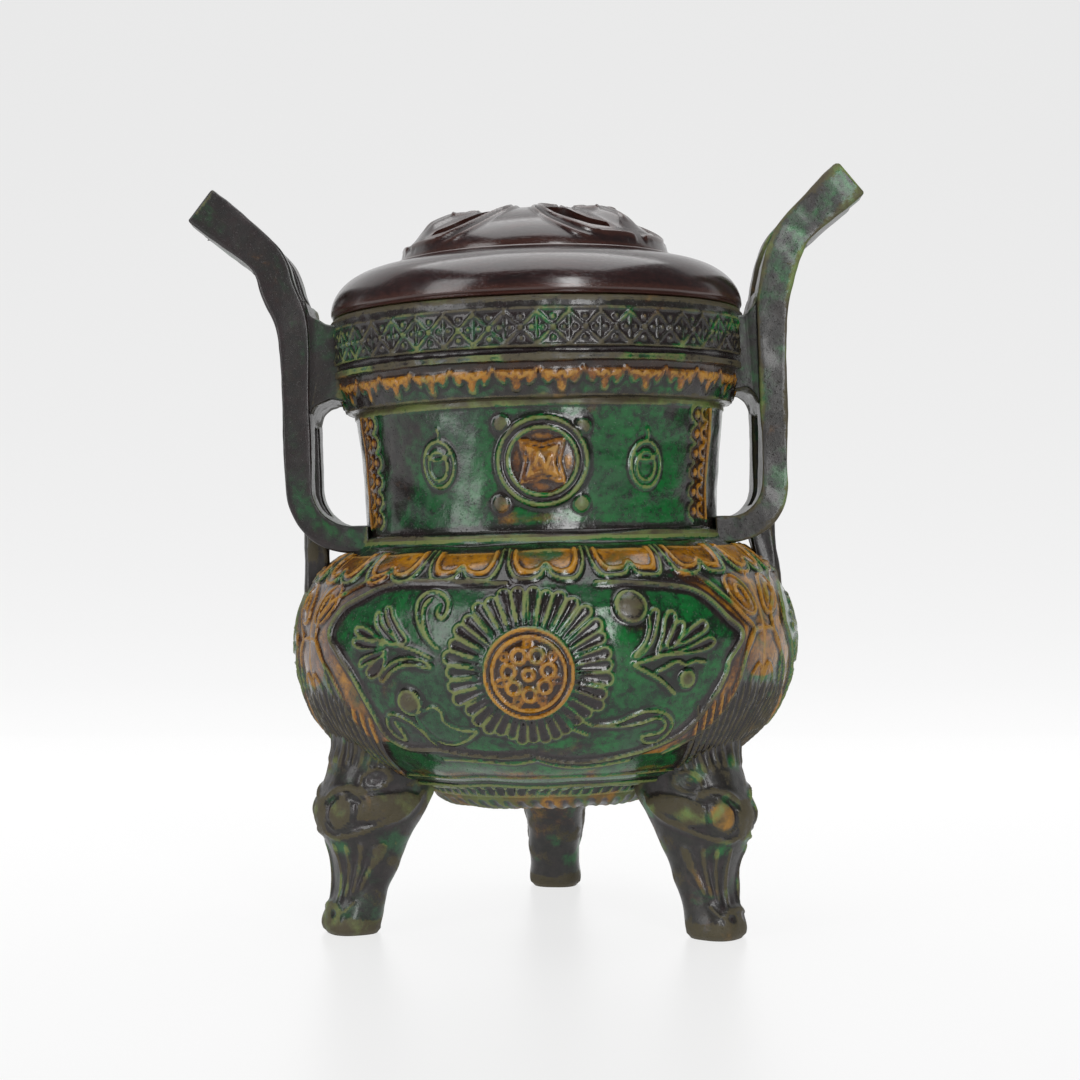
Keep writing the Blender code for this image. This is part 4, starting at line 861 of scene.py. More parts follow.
def build_belly_section(number):
    """One third of the belly with its flower, frame, collar, scrolls and mane."""
    middle = PANEL_MIDDLES[number]
    start, end = sorted(short_way(leg, middle) for leg in LEG_AZIMUTHS
                        if abs(short_way(leg, middle)) < 90.0)
    outline = np.vstack((belly_outer, belly_inner))
    piece = turn_section(f"belly_section_{number + 1}", outline, middle + start, middle + end)
    dice = np.random.default_rng(31 + number)

    def drawn(turn, rows, points):
        along = turned_off(turn, middle) * BELLY_RADIUS
        clay = Clay(along, belly_up[rows], belly_outer[rows, 0] / BELLY_RADIUS)
        draw_flower(clay, PETALS[number], SEEDS, dice)
        draw_leaves(clay, dice)
        draw_frame(clay)
        draw_collar(clay, middle, up_at, dice)
        for leg in (middle + start, middle + end):
            draw_scrolls(clay, panel_x(leg, middle), 3.0)
            draw_mane(clay, panel_x(leg, middle), up_at, np.random.default_rng(int(round(leg)) % 360))
        draw_hatching(clay, up_at)
        edge = eased(np.minimum(rows * 2.0, len(belly_outer) - 1 - rows) / 4.0)
        uneven = 0.35 * wander(points, 30.0, 5) + 0.12 * wander(points, 9.0, 6)
        return (clay.lift() + uneven) * edge, {"amber": clay.amber, "dark": clay.dark}

    press_relief(piece, belly_outer, drawn)
    note_wear(piece)
    settle(piece, leaning)
    return piece


sections = [build_belly_section(number) for number in range(3)]

# %% [markdown]
# The belly ends below in a foot ridge and a shallow round bottom, glazed thinly and rubbed.

# %% The underside
def build_underside():
    """The closed bottom of the belly, with its foot ridge."""
    foot_r, foot_z = belly_outer[0]
    depth = BOTTOM_DROP
    outer = [(0.0, foot_z - depth), (foot_r * 0.45, foot_z - depth + 0.2),
             (foot_r * 0.75, foot_z - depth + 0.9), (foot_r * 0.92, foot_z - depth * 0.55), (foot_r, foot_z)]
    inner = [(foot_r - 1.0, foot_z + WALL), (foot_r * 0.6, foot_z + WALL - 1.6), (0.0, foot_z + WALL - 2.0)]
    smooth_outer = soft(outer, steps=14)
    piece = turn_section("underside", np.vstack((smooth_outer, inner)), 0.0, 360.0, 0.85)
    points = coordinates(piece)
    radius, turn = np.hypot(points[:, 0], points[:, 1]), np.arctan2(points[:, 0], -points[:, 1])
    hatched = eased((radius - foot_r * 0.72) / 3.0) * eased((foot_r * 0.99 - radius) / 1.5)
    strokes = 0.45 * np.cos(turn * 52.0 + radius * 0.55) * hatched
    points[:, 2] += (0.25 * wander(points, 14.0, 71) - strokes) * (points[:, 2] < foot_z - 0.2)
    set_coordinates(piece, points)
    set_attribute(piece, "dark", np.full(len(points), 0.55))
    set_attribute(piece, "amber", np.clip((radius - foot_r * 0.7) / 8.0, 0.0, 0.45))
    note_wear(piece, 6, 0.16)
    settle(piece, leaning)
    return piece


underside = build_underside()

# %% [markdown]
# The neck is a plain drum that widens a little upwards, glazed emerald. A round medallion
# with a hollow-sided star sits in front and behind, with four small bosses round it, and
# beyond them an oval fruit on each side. Upright scalloped borders, amber with beads, stand
# near the handles.

# %% The neck
NECK_FACES = (0.5, 180.5)
MEDALLION_Z, COIN_RING, COIN_INNER = 160.2, 14.3, 11.3
BOSSES = ((12.5, 171.2), (12.0, 146.0), (-12.2, 146.6), (-11.3, 172.6))
FRUITS = ((-32.2, 160.2), (33.4, 158.6))
BORDER_AZIMUTHS = (-64.0, 56.5)
NECK_GRAIN, HALF_NECK_REACH = 0.62, 99.0
NECK_STAINS = (
    ("dark", ((-62.0, 135.0), (-62.0, 182.0), (-20.0, 182.0), (-34.0, 166.0), (-44.0, 150.0)), 10.0, 0.75),
    ("dark", ((62.0, 135.0), (62.0, 182.0), (36.0, 182.0), (44.0, 160.0), (46.0, 140.0)), 8.0, 0.7),
    ("amber", ((-16.0, 138.0), (-14.0, 150.0), (-6.0, 146.0), (2.0, 146.5), (8.0, 139.0)), 4.0, 0.55),
)

neck_out = stepped((bead_corner, (NECK_RADIUS + NECK_BEAD + 0.1, NECK_FOOT_Z - NECK_BEAD + 0.5),
                    (NECK_RADIUS + NECK_BEAD * 0.8, NECK_FOOT_Z - 0.9), (NECK_RADIUS + 0.1, NECK_FOOT_Z)),
                   GRAIN)
neck_rise = np.linspace(0.0, 1.0, int((NECK_TOP_Z - NECK_FOOT_Z) / NECK_GRAIN))[1:]
neck_out = np.vstack((neck_out, np.column_stack((NECK_RADIUS + NECK_FLARE * neck_rise ** 1.6,
                                                 NECK_FOOT_Z + (NECK_TOP_Z - NECK_FOOT_Z) * neck_rise))))
neck_in = np.array(((NECK_RADIUS + NECK_FLARE - WALL, NECK_TOP_Z), (NECK_RADIUS - WALL + 0.6, 160.0),
                    (NECK_RADIUS - WALL, NECK_FOOT_Z), (NECK_RADIUS - WALL, NECK_FOOT_Z - NECK_BEAD)))


def draw_coin(clay, x):
    """The round medallion with its hollow-sided star."""
    centre = (x, MEDALLION_Z)
    clay.dome(centre, COIN_RING + 1.6, 0.5)
    clay.bead(round_line(centre, COIN_RING), 1.25, 1.15)
    clay.bead(round_line(centre, COIN_INNER), 0.9, 0.8)
    clay.stain_line("dark", round_line(centre, (COIN_RING + COIN_INNER) / 2.0), 1.8, 0.9)
    star = []
    for k in range(4):
        tip = math.radians(90.0 * k + 45.0)
        side = tip + math.radians(45.0)
        star.append((x + 10.0 * math.cos(tip), MEDALLION_Z + 10.0 * math.sin(tip)))
        for turn, reach in ((-26.0, 6.6), (0.0, 5.2), (26.0, 6.6)):
            t = side + math.radians(turn)
            star.append((x + reach * math.cos(t), MEDALLION_Z + reach * math.sin(t)))
    clay.pad(star, 1.25, 1.6)
    clay.bead(np.array(star + star[:1]), 0.8, 0.55)
    clay.stain("amber", round_line(centre, COIN_INNER - 0.4), 0.9)
    clay.stain_line("dark", round_line(centre, COIN_INNER - 2.0), 1.5, 0.25)
    clay.bead(((x - 2.6, MEDALLION_Z - 2.2), (x - 1.4, MEDALLION_Z + 2.4), (x + 1.2, MEDALLION_Z - 2.2),
               (x + 2.6, MEDALLION_Z + 2.2)), 0.8, 0.5, taper=0.15)


def draw_fruit(clay, x, z):
    """An oval fruit: an outline, an inner oval open at the top, and a stalk."""
    clay.dome((x, z), 6.0, 0.5, tall=1.28)
    clay.bead(round_line((x, z), 6.0, 40, 1.28), 0.85, 0.75)
    clay.bead(round_line((x - 0.2, z - 0.6), 3.7, 30, 1.3), 0.7, 0.6)
    clay.bead(soft(((x - 4.6, z + 3.6), (x - 1.6, z + 1.6), (x + 2.0, z + 1.8), (x + 4.6, z + 4.0))),
              0.7, 0.6)
    clay.bead(soft(((x - 0.4, z + 7.4), (x + 1.0, z + 9.6), (x + 0.2, z + 12.2))), 0.7, 0.6, taper=0.2)


def draw_border(clay, x, inward):
    """An upright amber border: a scalloped line, a row of beads and two rims."""
    low, high = NECK_FOOT_Z + 2.0, NECK_TOP_Z - 1.5
    lobes = 6
    pitch = (high - low) / lobes
    field = [(x - inward * 9.0, low), (x - inward * 9.0, high)]
    for k in range(lobes, 0, -1):
        middle = low + (k - 0.5) * pitch
        field += [(x + inward * 2.0, middle + pitch * 0.5), (x + inward * 4.6, middle + pitch * 0.25),
                  (x + inward * 5.2, middle), (x + inward * 4.6, middle - pitch * 0.25)]
    field.append((x + inward * 2.0, low))
    clay.stain("amber", field, 1.2)
    clay.bead(np.array(field[2:]), 0.9, 0.8)
    for k in range(lobes):
        middle = low + (k + 0.5) * pitch
        clay.dome((x + inward * 1.2, middle), 1.4, 0.8)
        clay.bead(soft(((x - inward * 6.5, middle - 2.6), (x - inward * 2.2, middle - 1.0),
                        (x - inward * 1.6, middle + 1.6), (x - inward * 5.0, middle + 2.8))),
                  0.8, 0.6, taper=0.15)
    clay.bead(((x - inward * 8.0, low), (x - inward * 8.0, high)), 0.9, 0.6)
    clay.stain("dark", ((x - inward * 26.0, low - 3), (x - inward * 26.0, high + 3),
                        (x - inward * 9.0, high + 3), (x - inward * 9.0, low - 3)), 2.0, 0.9)


def build_neck():
    """The neck with its medallions, bosses, fruits and borders."""
    piece = turn_section("neck", np.vstack((neck_out, neck_in)), 0.0, 360.0)

    def drawn(turn, rows, points):
        lift, amber, dark = np.zeros(len(rows)), np.zeros(len(rows)), np.zeros(len(rows))
        for face in NECK_FACES:
            along = turned_off(turn, face) * NECK_RADIUS
            half = np.flatnonzero(np.abs(along) <= math.pi / 2.0 * NECK_RADIUS + 0.5)
            clay = Clay(along[half], neck_out[rows[half], 1], neck_out[rows[half], 0] / NECK_RADIUS)
            scale = math.radians(1.0) * NECK_RADIUS
            draw_coin(clay, 0.0)
            for azimuth, z in BOSSES:
                spot = ((azimuth - NECK_FACES[0]) * scale, z)
                clay.dome(spot, 3.0, 0.9)
                clay.stain("dark", round_line(spot, 3.4, 24), 1.0, 0.7)
                clay.stain_line("dark", round_line(spot, 3.6, 24), 1.6, 0.65)
            for azimuth, z in FRUITS:
                draw_fruit(clay, (azimuth - NECK_FACES[0]) * scale, z)
            for azimuth in BORDER_AZIMUTHS:
                draw_border(clay, azimuth * scale, -math.copysign(1.0, azimuth))
            clay.level_bead(HALF_NECK_REACH, NECK_TOP_Z - 1.4, 1.2, 0.5)
            clay.level_stain("dark", HALF_NECK_REACH, NECK_FOOT_Z - 1.0, 4.5, 0.8)
            clay.level_stain("dark", HALF_NECK_REACH, NECK_TOP_Z + 1.0, 6.0, 0.8)
            for zone, outline, edge, amount in NECK_STAINS:
                clay.stain(zone, soft(outline, closed=True), edge, amount)
            lift[half] = clay.lift()
            amber[half], dark[half] = clay.amber, clay.dark
        edge = eased(np.minimum(rows, len(neck_out) - 1 - rows) / 3.0)
        uneven = 0.35 * wander(points, 34.0, 8) + 0.08 * wander(points, 9.0, 9)
        return (lift + uneven) * edge, {"amber": amber, "dark": dark}

    press_relief(piece, neck_out, drawn)
    note_wear(piece, 6, 0.14)
    settle(piece, leaning)
    return piece


neck = build_neck()

# %% [markdown]
# The rim is a thick turned band. From below: ragged amber leaves that hang from a fillet, a
# groove, a band of diagonal crosses with trefoils between them, green on a dark ground, and
# a plain lip whose glaze is rubbed through in spots.

# %% The rim
RIM_LEAVES, CROSS_UNITS, RIM_GRAIN = 30, 44, 0.55
RIM_LEAF = ((-0.96, 0.98), (-0.80, 0.52), (-0.52, 0.34), (-0.30, 0.50), (-0.16, 0.12), (0.04, 0.0),
            (0.20, 0.16), (0.34, 0.50), (0.54, 0.30), (0.82, 0.50), (0.96, 0.98))
rim_outer = stepped(((NECK_RADIUS + NECK_FLARE - 0.2, NECK_TOP_Z - 0.3),
                     (RIM_RADIUS - RIM_UNDER_STEP, NECK_TOP_Z + 0.4),
                     (RIM_RADIUS - 1.2, LAPPET_TOP), (RIM_RADIUS + 0.2, LAPPET_TOP + 0.8),
                     (RIM_RADIUS + 0.2, FILLET_TOP - 0.5), (RIM_RADIUS - 1.2, FILLET_TOP + 0.6),
                     (RIM_RADIUS - 1.0, GROOVE_TOP - 0.5), (RIM_RADIUS, GROOVE_TOP), (RIM_RADIUS, FRET_TOP),
                     (RIM_RADIUS, LIP_TOP - 1.0), (RIM_RADIUS - 1.0, LIP_TOP)), RIM_GRAIN)
rim_inner = stepped(((RIM_RADIUS - 2.0, LIP_TOP), (MOUTH_RADIUS, LIP_TOP),
                     (MOUTH_RADIUS, LIP_TOP - MOUTH_DEPTH),
                     (NECK_RADIUS + NECK_FLARE - WALL, NECK_TOP_Z - 4.0)), 4.0)
rim_up = run_along(rim_outer)


def rim_run(z):
    """Running length up the rim's outer side at one height."""
    return float(np.interp(z, rim_outer[:, 1], rim_up))


def draw_rim_leaf(clay, x, half, dice):
    """One ragged hanging leaf with three lobes."""
    top, low = rim_run(LAPPET_TOP - 1.2), rim_run(NECK_TOP_Z + 2.2)
    tall = top - low
    line = soft([(x + a * half + dice.uniform(-0.3, 0.3), low + b * tall + dice.uniform(-0.25, 0.25))
                 for a, b in RIM_LEAF])
    clay.pad(line, 0.8, 1.4)
    clay.bead(line, 0.8, 0.75)
    clay.bead(soft(((x - half * 0.5, top - tall * 0.18), (x - half * 0.2, top - tall * 0.42),
                    (x, top - tall * 0.2), (x + half * 0.25, top - tall * 0.44),
                    (x + half * 0.5, top - tall * 0.2))), 0.75, 0.6, taper=0.15)
    clay.stain("amber", line, 0.9)


def draw_cross(clay, x, half, dice):
    """One unit of the band: a diagonal cross with a lozenge heart and four leaf spots."""
    low, high = rim_run(GROOVE_TOP) + 1.0, rim_run(FRET_TOP) - 0.8
    middle, tall = (low + high) / 2.0, (high - low) / 2.0
    tilt = dice.uniform(-0.3, 0.3)
    for a in (-1.0, 1.0):
        clay.bead(((x - a * half + tilt, middle - tall), (x + a * half + tilt, middle + tall)), 0.8,
                  0.75 + dice.uniform(-0.15, 0.1))
    clay.bead(((x + half, middle - tall), (x + half, middle + tall)), 0.7, 0.55)
    heart = round_line((x + tilt, middle), 1.5, 4)
    clay.pad(heart, 0.9, 0.9)
    for a, b in ((0.0, 0.62), (0.0, -0.62), (0.66, 0.0), (-0.66, 0.0)):
        clay.dome((x + a * half, middle + b * tall), 0.95, 0.8 + dice.uniform(-0.2, 0.2), tall=1.2)


def build_rim():
    """The banded rim."""
    piece = turn_section("rim", np.vstack((rim_outer, rim_inner)), 0.0, 360.0)

    def drawn(turn, rows, points):
        along = turn * RIM_RADIUS
        clay = Clay(along, rim_up[rows], np.ones(len(rows)))
        dice = np.random.default_rng(77)
        for units, drawer in ((RIM_LEAVES, draw_rim_leaf), (CROSS_UNITS, draw_cross)):
            pitch = 2.0 * math.pi / units * RIM_RADIUS
            for k in range(units):
                drawer(clay, -math.pi * RIM_RADIUS + (k + 0.5) * pitch, pitch / 2.0, dice)
        ends = math.pi * RIM_RADIUS + 1.0
        clay.level_bead(ends, rim_run(GROOVE_TOP) + 0.5, 0.8, 0.5)
        clay.level_bead(ends, rim_run(FRET_TOP) + 0.2, 0.9, 0.55)
        for zone, z, off, width, amount in (("dark", FILLET_TOP, 1.2, 2.2, 1.0),
                                            ("amber", LAPPET_TOP, -2.0, 5.5, 0.95),
                                            ("dark", LIP_TOP, -2.0, 4.0, 0.95),
                                            ("dark", NECK_TOP_Z, 1.0, 4.5, 0.9)):
            clay.level_stain(zone, ends, rim_run(z) + off, width, amount)
        edge = eased(np.minimum(rows, len(rim_outer) - 1 - rows) / 2.0)
        uneven = 0.25 * wander(points, 28.0, 12) + 0.12 * wander(points, 7.0, 13)
        patches = eased(0.5 + 0.9 * wander(points, 20.0, 14))
        dark = np.maximum(clay.dark * 0.9, 0.9 - 0.85 * patches)
        return (clay.lift() - 0.25 + uneven) * edge, {"amber": clay.amber, "dark": dark}

    press_relief(piece, rim_outer, drawn)
    note_wear(piece, 6, 0.14)
    settle(piece, leaning)
    return piece


rim = build_rim()

# %% [markdown]
# Each leg is a beast's head that bites the belly: the snout runs down to a rounded muzzle
# that is the foot, a big eye bulges near the knee, and a whorl of hair sits on the temple.
# A cylinder is cut into many rings and each ring drawn to its size, which keeps the points
# even, and the features are then pressed on as on the wall.

# %% The legs: height, inner and outer reach off the leg circle and width, in millimetres
LEG_CIRCLE = 71.6
LEG_FORM = ((78.0, -17.0, 9.5, 36.0), (65.0, -27.0, 5.5, 33.0), (55.0, -30.0, 8.0, 30.0),
            (47.5, -29.0, 11.0, 28.5), (41.5, -25.5, 12.4, 27.0), (33.5, -20.5, 10.3, 24.0),
            (25.0, -16.5, 7.0, 21.0), (16.5, -12.8, 6.0, 19.4), (9.0, -10.0, 8.0, 19.4),
            (3.5, -9.2, 9.8, 19.8), (0.0, -9.0, 9.6, 18.6))
LEG_RINGS, LEG_SIDES, LEG_GIRTH, LEG_TOP_Z = 100, 104, 14.0, 76.0
LEG_AMBER = (0.35, 0.85, 0.3)
BROW = ((8.0, 46.0), (24.0, 49.6), (48.0, 50.6), (70.0, 47.4))
JAW = ((6.0, 35.6), (26.0, 33.8), (52.0, 34.4), (82.0, 36.8), (106.0, 41.5), (118.0, 49.0))
SNOUT_FOLDS = ((20.0, 10.0, 0.0), (46.0, 12.5, 6.0), (70.0, 14.0, 14.0), (94.0, 15.0, 24.0))
LIP_LINE = ((64.0, 11.5), (42.0, 8.2), (20.0, 9.6), (0.0, 10.8))


def draw_mask(clay, dice):
    """Eyes, brows, whorls, cheeks, jaw lines, snout folds and muzzle of one leg."""

    def spot(turn, z):
        return math.radians(turn) * LEG_GIRTH, z

    def line_of(side, points):
        return soft([spot(side * a, z) for a, z in points])

    clay.dome(spot(0.0, 40.5), 5.5, 1.0, tall=1.4)
    clay.dome(spot(0.0, 6.0), 7.5, 1.1, tall=0.75)
    for side in (-1.0, 1.0):
        eye = spot(side * 42.0, 42.3)
        clay.dome(eye, 5.8, 2.6)
        clay.bead(round_line(eye, 6.3, 30), 1.0, 0.9)
        clay.dome(spot(side * 42.0, 42.3), 2.4, 3.2)
        clay.bead(line_of(side, BROW), 1.8, 1.4, taper=0.15)
        clay.bead(round_line(spot(side * 70.0, 53.4), 3.6, 26), 0.95, 1.0)
        clay.bead(round_line(spot(side * 70.0, 53.4), 1.3, 14, start=40.0, end=300.0), 0.7, 0.6)
        clay.dome(spot(side * 88.0, 43.6), 9.0, 1.9, tall=0.62)
        clay.bead(line_of(side, JAW), 1.6, 1.25, taper=0.1)
        for top, low, turn in SNOUT_FOLDS:
            crease = ((top, 31.8), (top - turn * 0.3 - 2.0, 24.0), (top - turn - 4.0, low))
            clay.bead(line_of(side, crease), 1.5, 1.0 + dice.uniform(-0.2, 0.2), taper=0.25)
        clay.bead(line_of(side, LIP_LINE), 1.0, 0.7)
        clay.dome(spot(side * 17.0, 7.2), 1.5, -0.6)
        clay.stain("amber", round_line(eye, 5.6, 24), 2.0, 0.72 if side < 0 else 0.5)
    for k in range(-8, 9):
        low = 58.5 - 0.25 * abs(k) + dice.uniform(-0.8, 0.8)
        lock = soft((spot(k * 11.5, low), spot(k * 12.0, 66.0), spot(k * 12.6, 77.0)))
        clay.bead(lock, 1.2, 0.9, taper=0.12)


def build_leg(number):
    """One leg as a shaped cylinder with a beast's head."""
    azimuth = LEG_AZIMUTHS[number]
    deselect_all()
    bpy.ops.mesh.primitive_cylinder_add(vertices=LEG_SIDES, radius=1.0, depth=2.0, end_fill_type="TRIFAN")
    piece = bpy.context.object
    piece.name = f"leg_{number + 1}"
    ends = coordinates(piece)[:, 2]
    choose(piece, "EDGE", [abs(ends[edge.vertices[0]] - ends[edge.vertices[1]]) > 1.0
                           for edge in piece.data.edges])
    bpy.ops.mesh.subdivide(number_cuts=LEG_RINGS - 1)
    bpy.ops.object.mode_set(mode="OBJECT")
    raw = coordinates(piece)
    form = soft(LEG_FORM[::-1], steps=12)
    z = (raw[:, 2] + 1.0) / 2.0 * LEG_TOP_Z
    inner, outer, width = (np.interp(z, form[:, 0], form[:, i]) for i in (1, 2, 3))
    turn = np.arctan2(raw[:, 1], raw[:, 0])
    away = np.hypot(raw[:, 0], raw[:, 1])
    along = np.sign(np.cos(turn)) * np.abs(np.cos(turn)) ** 0.78
    across = np.sign(np.sin(turn)) * np.abs(np.sin(turn)) ** 0.78
    sole = eased(z / 1.6) * 0.12 + 0.88
    reach = (inner + outer) / 2.0 + along * (outer - inner) / 2.0 * away * sole
    aside = across * width / 2.0 * away * sole
    girth = np.hypot(along * (outer - inner) / 2.0, across * width / 2.0)
    clay = Clay(turn * LEG_GIRTH, z, girth / LEG_GIRTH)
    draw_mask(clay, np.random.default_rng(200 + number))
    local = np.column_stack((reach, aside, z))
    lift = clay.lift() * 0.82 + 0.35 * wander(local + 50.0 * number, 16.0, 21) + 0.07 * wander(local, 6.0, 22)
    lift *= (away > 0.5) * eased(z / 3.0)
    reach += lift * np.cos(turn)
    aside += lift * np.sin(turn)
    angle = math.radians(azimuth)
    out = np.array((math.sin(angle), -math.cos(angle)))
    side = np.array((math.cos(angle), math.sin(angle)))
    plan = (LEG_CIRCLE + reach)[:, None] * out + aside[:, None] * side
    wall = np.interp(z, belly_outer[:, 1], belly_outer[:, 0]) - 3.5
    radius = np.hypot(plan[:, 0], plan[:, 1])
    pull = np.where((z > 52.0) & (radius < wall), wall / radius, 1.0)
    plan *= pull[:, None]
    set_coordinates(piece, np.column_stack((plan, z)))
    set_attribute(piece, "amber", clay.amber * LEG_AMBER[number])
    green = eased(0.9 * wander(local + 31.0 * number, 11.0, 25) + 0.1) * 0.95
    set_attribute(piece, "dark", np.clip(0.98 - green * eased((z - 5.0) / 9.0), 0.0, 1.0))
    note_wear(piece, 6, 0.16)
    settle(piece, upright, sharp=60.0)
    print(piece.name, "faces", len(piece.data.polygons))
    return piece


legs = [build_leg(number) for number in range(3)]

# %% [markdown]
# Each handle is a broad strap of clay with a slot cut along it, set into the foot of the
# neck, bent upwards past the rim, stuck to it, and flared outwards at the top. A flat slab
# is the natural start: a grid with the slot deleted, given its thickness by Solidify and its
# soft edges by Bevel. Only then is it bent to its side line, so the slot stays straight.

# %% The handles
HANDLE_DEPTH, BAR_DEPTH, HANDLE_THICK, TIP_THICK, TIP_SLAB = 43.0, 13.0, 10.0, 15.0, 27.0
HANDLE_FOOT_RADIUS, HANDLE_FOOT_Z = 66.0, 136.5
SLOT_FOOT_Z = 142.5
TIP_GAP = 0.0001
HANDLES = (("left", -1.0, 10.9, ((0.6, -2.8), (5.1, 9.8), (8.8, 20.2), (17.8, 29.3), (32.0, 40.9))),
           ("right", 1.0, 8.1, ((0.6, -1.9), (2.7, 10.2), (5.8, 19.8), (11.3, 28.4), (29.5, 44.1))))


def handle_line(stand, top):
    """The side line of a handle, (radius, height), from inside the neck's foot to its tip."""
    bar = RIM_RADIUS + stand
    bend = bar - HANDLE_FOOT_RADIUS
    arc = elliptic(HANDLE_FOOT_RADIUS, HANDLE_FOOT_Z + bend, bend, bend, -90.0, 0.0, 14)
    upper = soft([arc[-1], (bar + 0.2, 185.0)] + [(bar + out, LIP_TOP + rise) for out, rise in top], steps=10)
    return np.vstack(((HANDLE_FOOT_RADIUS - 6.0, HANDLE_FOOT_Z), arc, upper[1:]))


def build_handle(name, side, stand, top):
    """One slotted strap, bent to its side line."""
    line = handle_line(stand, top)
    runs = run_along(line)
    length = int(runs[-1])
    runs = runs * length / runs[-1]
    deselect_all()
    bpy.ops.mesh.primitive_grid_add(x_subdivisions=length, y_subdivisions=int(HANDLE_DEPTH), size=1.0)
    piece = bpy.context.object
    piece.name = f"handle_{name}"
    flat = coordinates(piece)
    flat[:, 0] = (flat[:, 0] + 0.5) * length
    flat[:, 1] *= HANDLE_DEPTH
    set_coordinates(piece, flat)
    slot_start = round(float(np.interp(SLOT_FOOT_Z, line[:, 1], runs)))
    slot_end = length - TIP_SLAB
    slot_half = HANDLE_DEPTH / 2.0 - BAR_DEPTH
    choose(piece, "FACE", [slot_start < face.center.x < slot_end and abs(face.center.y) < slot_half
                           for face in piece.data.polygons])
    bpy.ops.mesh.delete(type="FACE")
    bpy.ops.object.mode_set(mode="OBJECT")
    wall = piece.modifiers.new("wall", "SOLIDIFY")
    wall.thickness, wall.offset = HANDLE_THICK, 0.0
    apply_modifiers(piece)
    edge_soft = piece.modifiers.new("edge_soft", "BEVEL")
    edge_soft.width, edge_soft.segments, edge_soft.limit_method = 1.9, 4, "ANGLE"
    edge_soft.angle_limit = math.radians(50.0)
    apply_modifiers(piece)
    places = coordinates(piece)
    choose(piece, "EDGE", [abs(places[edge.vertices[0], 2] - places[edge.vertices[1], 2]) > HANDLE_THICK * 0.4
                           for edge in piece.data.edges])
    bpy.ops.mesh.subdivide(number_cuts=6)
    face_outwards(piece)
    places = coordinates(piece)
    uneven = 0.32 * wander(places + 40.0 * side, 26.0, 41) + 0.06 * wander(places, 7.0, 42)
    places = places + vertex_normals(piece) * (uneven - 0.25)[:, None]
    run = np.clip(places[:, 0], 0.0, length)
    ahead = np.gradient(line, axis=0)
    ahead /= np.linalg.norm(ahead, axis=1)[:, None]
    r, z = (np.interp(run, runs, line[:, i]) for i in (0, 1))
    ar, az = (np.interp(run, runs, ahead[:, i]) for i in (0, 1))
    grown = np.clip((run - length * 0.45) / (length * 0.55), 0.0, 1.0)
    off = places[:, 2] * (1.0 + grown * (TIP_THICK / HANDLE_THICK - 1.0))
    over = places[:, 0] - run
    r, z = r - az * off + ar * over, z + ar * off + az * over
    set_coordinates(piece, np.column_stack((side * r, places[:, 1], z)))
    if side > 0:
        face_outwards(piece)
    done = coordinates(piece)
    lower_green = eased((176.0 - done[:, 2]) / 22.0) * (0.95 if side < 0 else 0.25)
    patches = eased(0.15 + 0.9 * wander(done + 17.0 * side, 17.0, 44)) * 0.55
    set_attribute(piece, "dark", np.clip(0.98 - np.maximum(lower_green * 0.85, patches), 0.0, 1.0))
    amber = eased((done[:, 2] - 214.0) / 12.0) * eased((244.0 - done[:, 2]) / 10.0)
    set_attribute(piece, "amber", amber * (0.38 if side < 0 else 0.2))
    note_wear(piece, 6, 0.2)
    settle(piece, leaning)
    low_corner, high_corner = np.array(cad_box)
    set_coordinates(piece, np.clip(coordinates(piece), low_corner + TIP_GAP, high_corner - TIP_GAP))
    print(piece.name, "length", length, "faces", len(piece.data.polygons))
    return piece


def clay_block(name, outline, depth, side, cut=2.0):
    """A lump of clay between two pieces: an upright outline with depth and soft edges."""
    points = [(side * r, -depth / 2.0, z) for r, z in outline]
    piece = new_piece(name, points, [], [tuple(range(len(points)))])
    pick(piece)
    bpy.ops.object.mode_set(mode="EDIT")
    bpy.ops.mesh.select_all(action="SELECT")
    bpy.ops.mesh.extrude_region_move(TRANSFORM_OT_translate={"value": (0.0, depth, 0.0)})
    bpy.ops.mesh.select_all(action="SELECT")
    bpy.ops.mesh.normals_make_consistent(inside=False)
    bpy.ops.mesh.bevel(offset=cut, segments=3, affect="EDGES")
    bpy.ops.mesh.select_all(action="SELECT")
    bpy.ops.mesh.subdivide(number_cuts=5)
    bpy.ops.object.mode_set(mode="OBJECT")
    places = coordinates(piece)
    uneven = 0.5 * wander(places, 14.0, 51) + 0.2 * wander(places, 5.0, 52)
    set_coordinates(piece, places + vertex_normals(piece) * (uneven - 0.4)[:, None])
    set_attribute(piece, "dark", np.full(len(places), 0.8))
    set_attribute(piece, "amber", np.zeros(len(places)))
    note_wear(piece, 4, 0.2)
    settle(piece, leaning)
    return piece


handles, lutings = [], []
for name, side, stand, top in HANDLES:
    handles.append(build_handle(name, side, stand, top))
    bar = RIM_RADIUS + stand
    inside, face = MOUTH_RADIUS + WALL * 0.6, bar - HANDLE_THICK / 2.0
    bridge = ((inside, 184.5), (RIM_RADIUS - 1.0, 185.5), (face - 1.2, 183.0), (face + 0.4, 177.0),
              (bar, 176.0), (bar, 221.0), (face + 0.6, 221.0), (face - 0.8, 215.5),
              (RIM_RADIUS - 0.4, 211.8), (inside, 211.0))
    lutings.append(clay_block(f"rim_luting_{name}", bridge, HANDLE_DEPTH - 3.0, side, 1.0))
    web = ((bar - 9.0, 139.5), (bar + 1.0, 145.5), (BELLY_RADIUS - 3.5, BELLY_MID_Z + 14.0),
           (BELLY_RADIUS - 13.0, BELLY_MID_Z + 21.0))
    lutings.append(clay_block(f"shoulder_web_{name}", web, 11.0, side))


# %% [markdown]
# A finish is easier to read as a sum than as a web of wires. One small class wraps an
# output, so that adding or multiplying two of them adds the Math node that does it, and one
# method adds any other node by its type, its settings and what feeds its sockets.

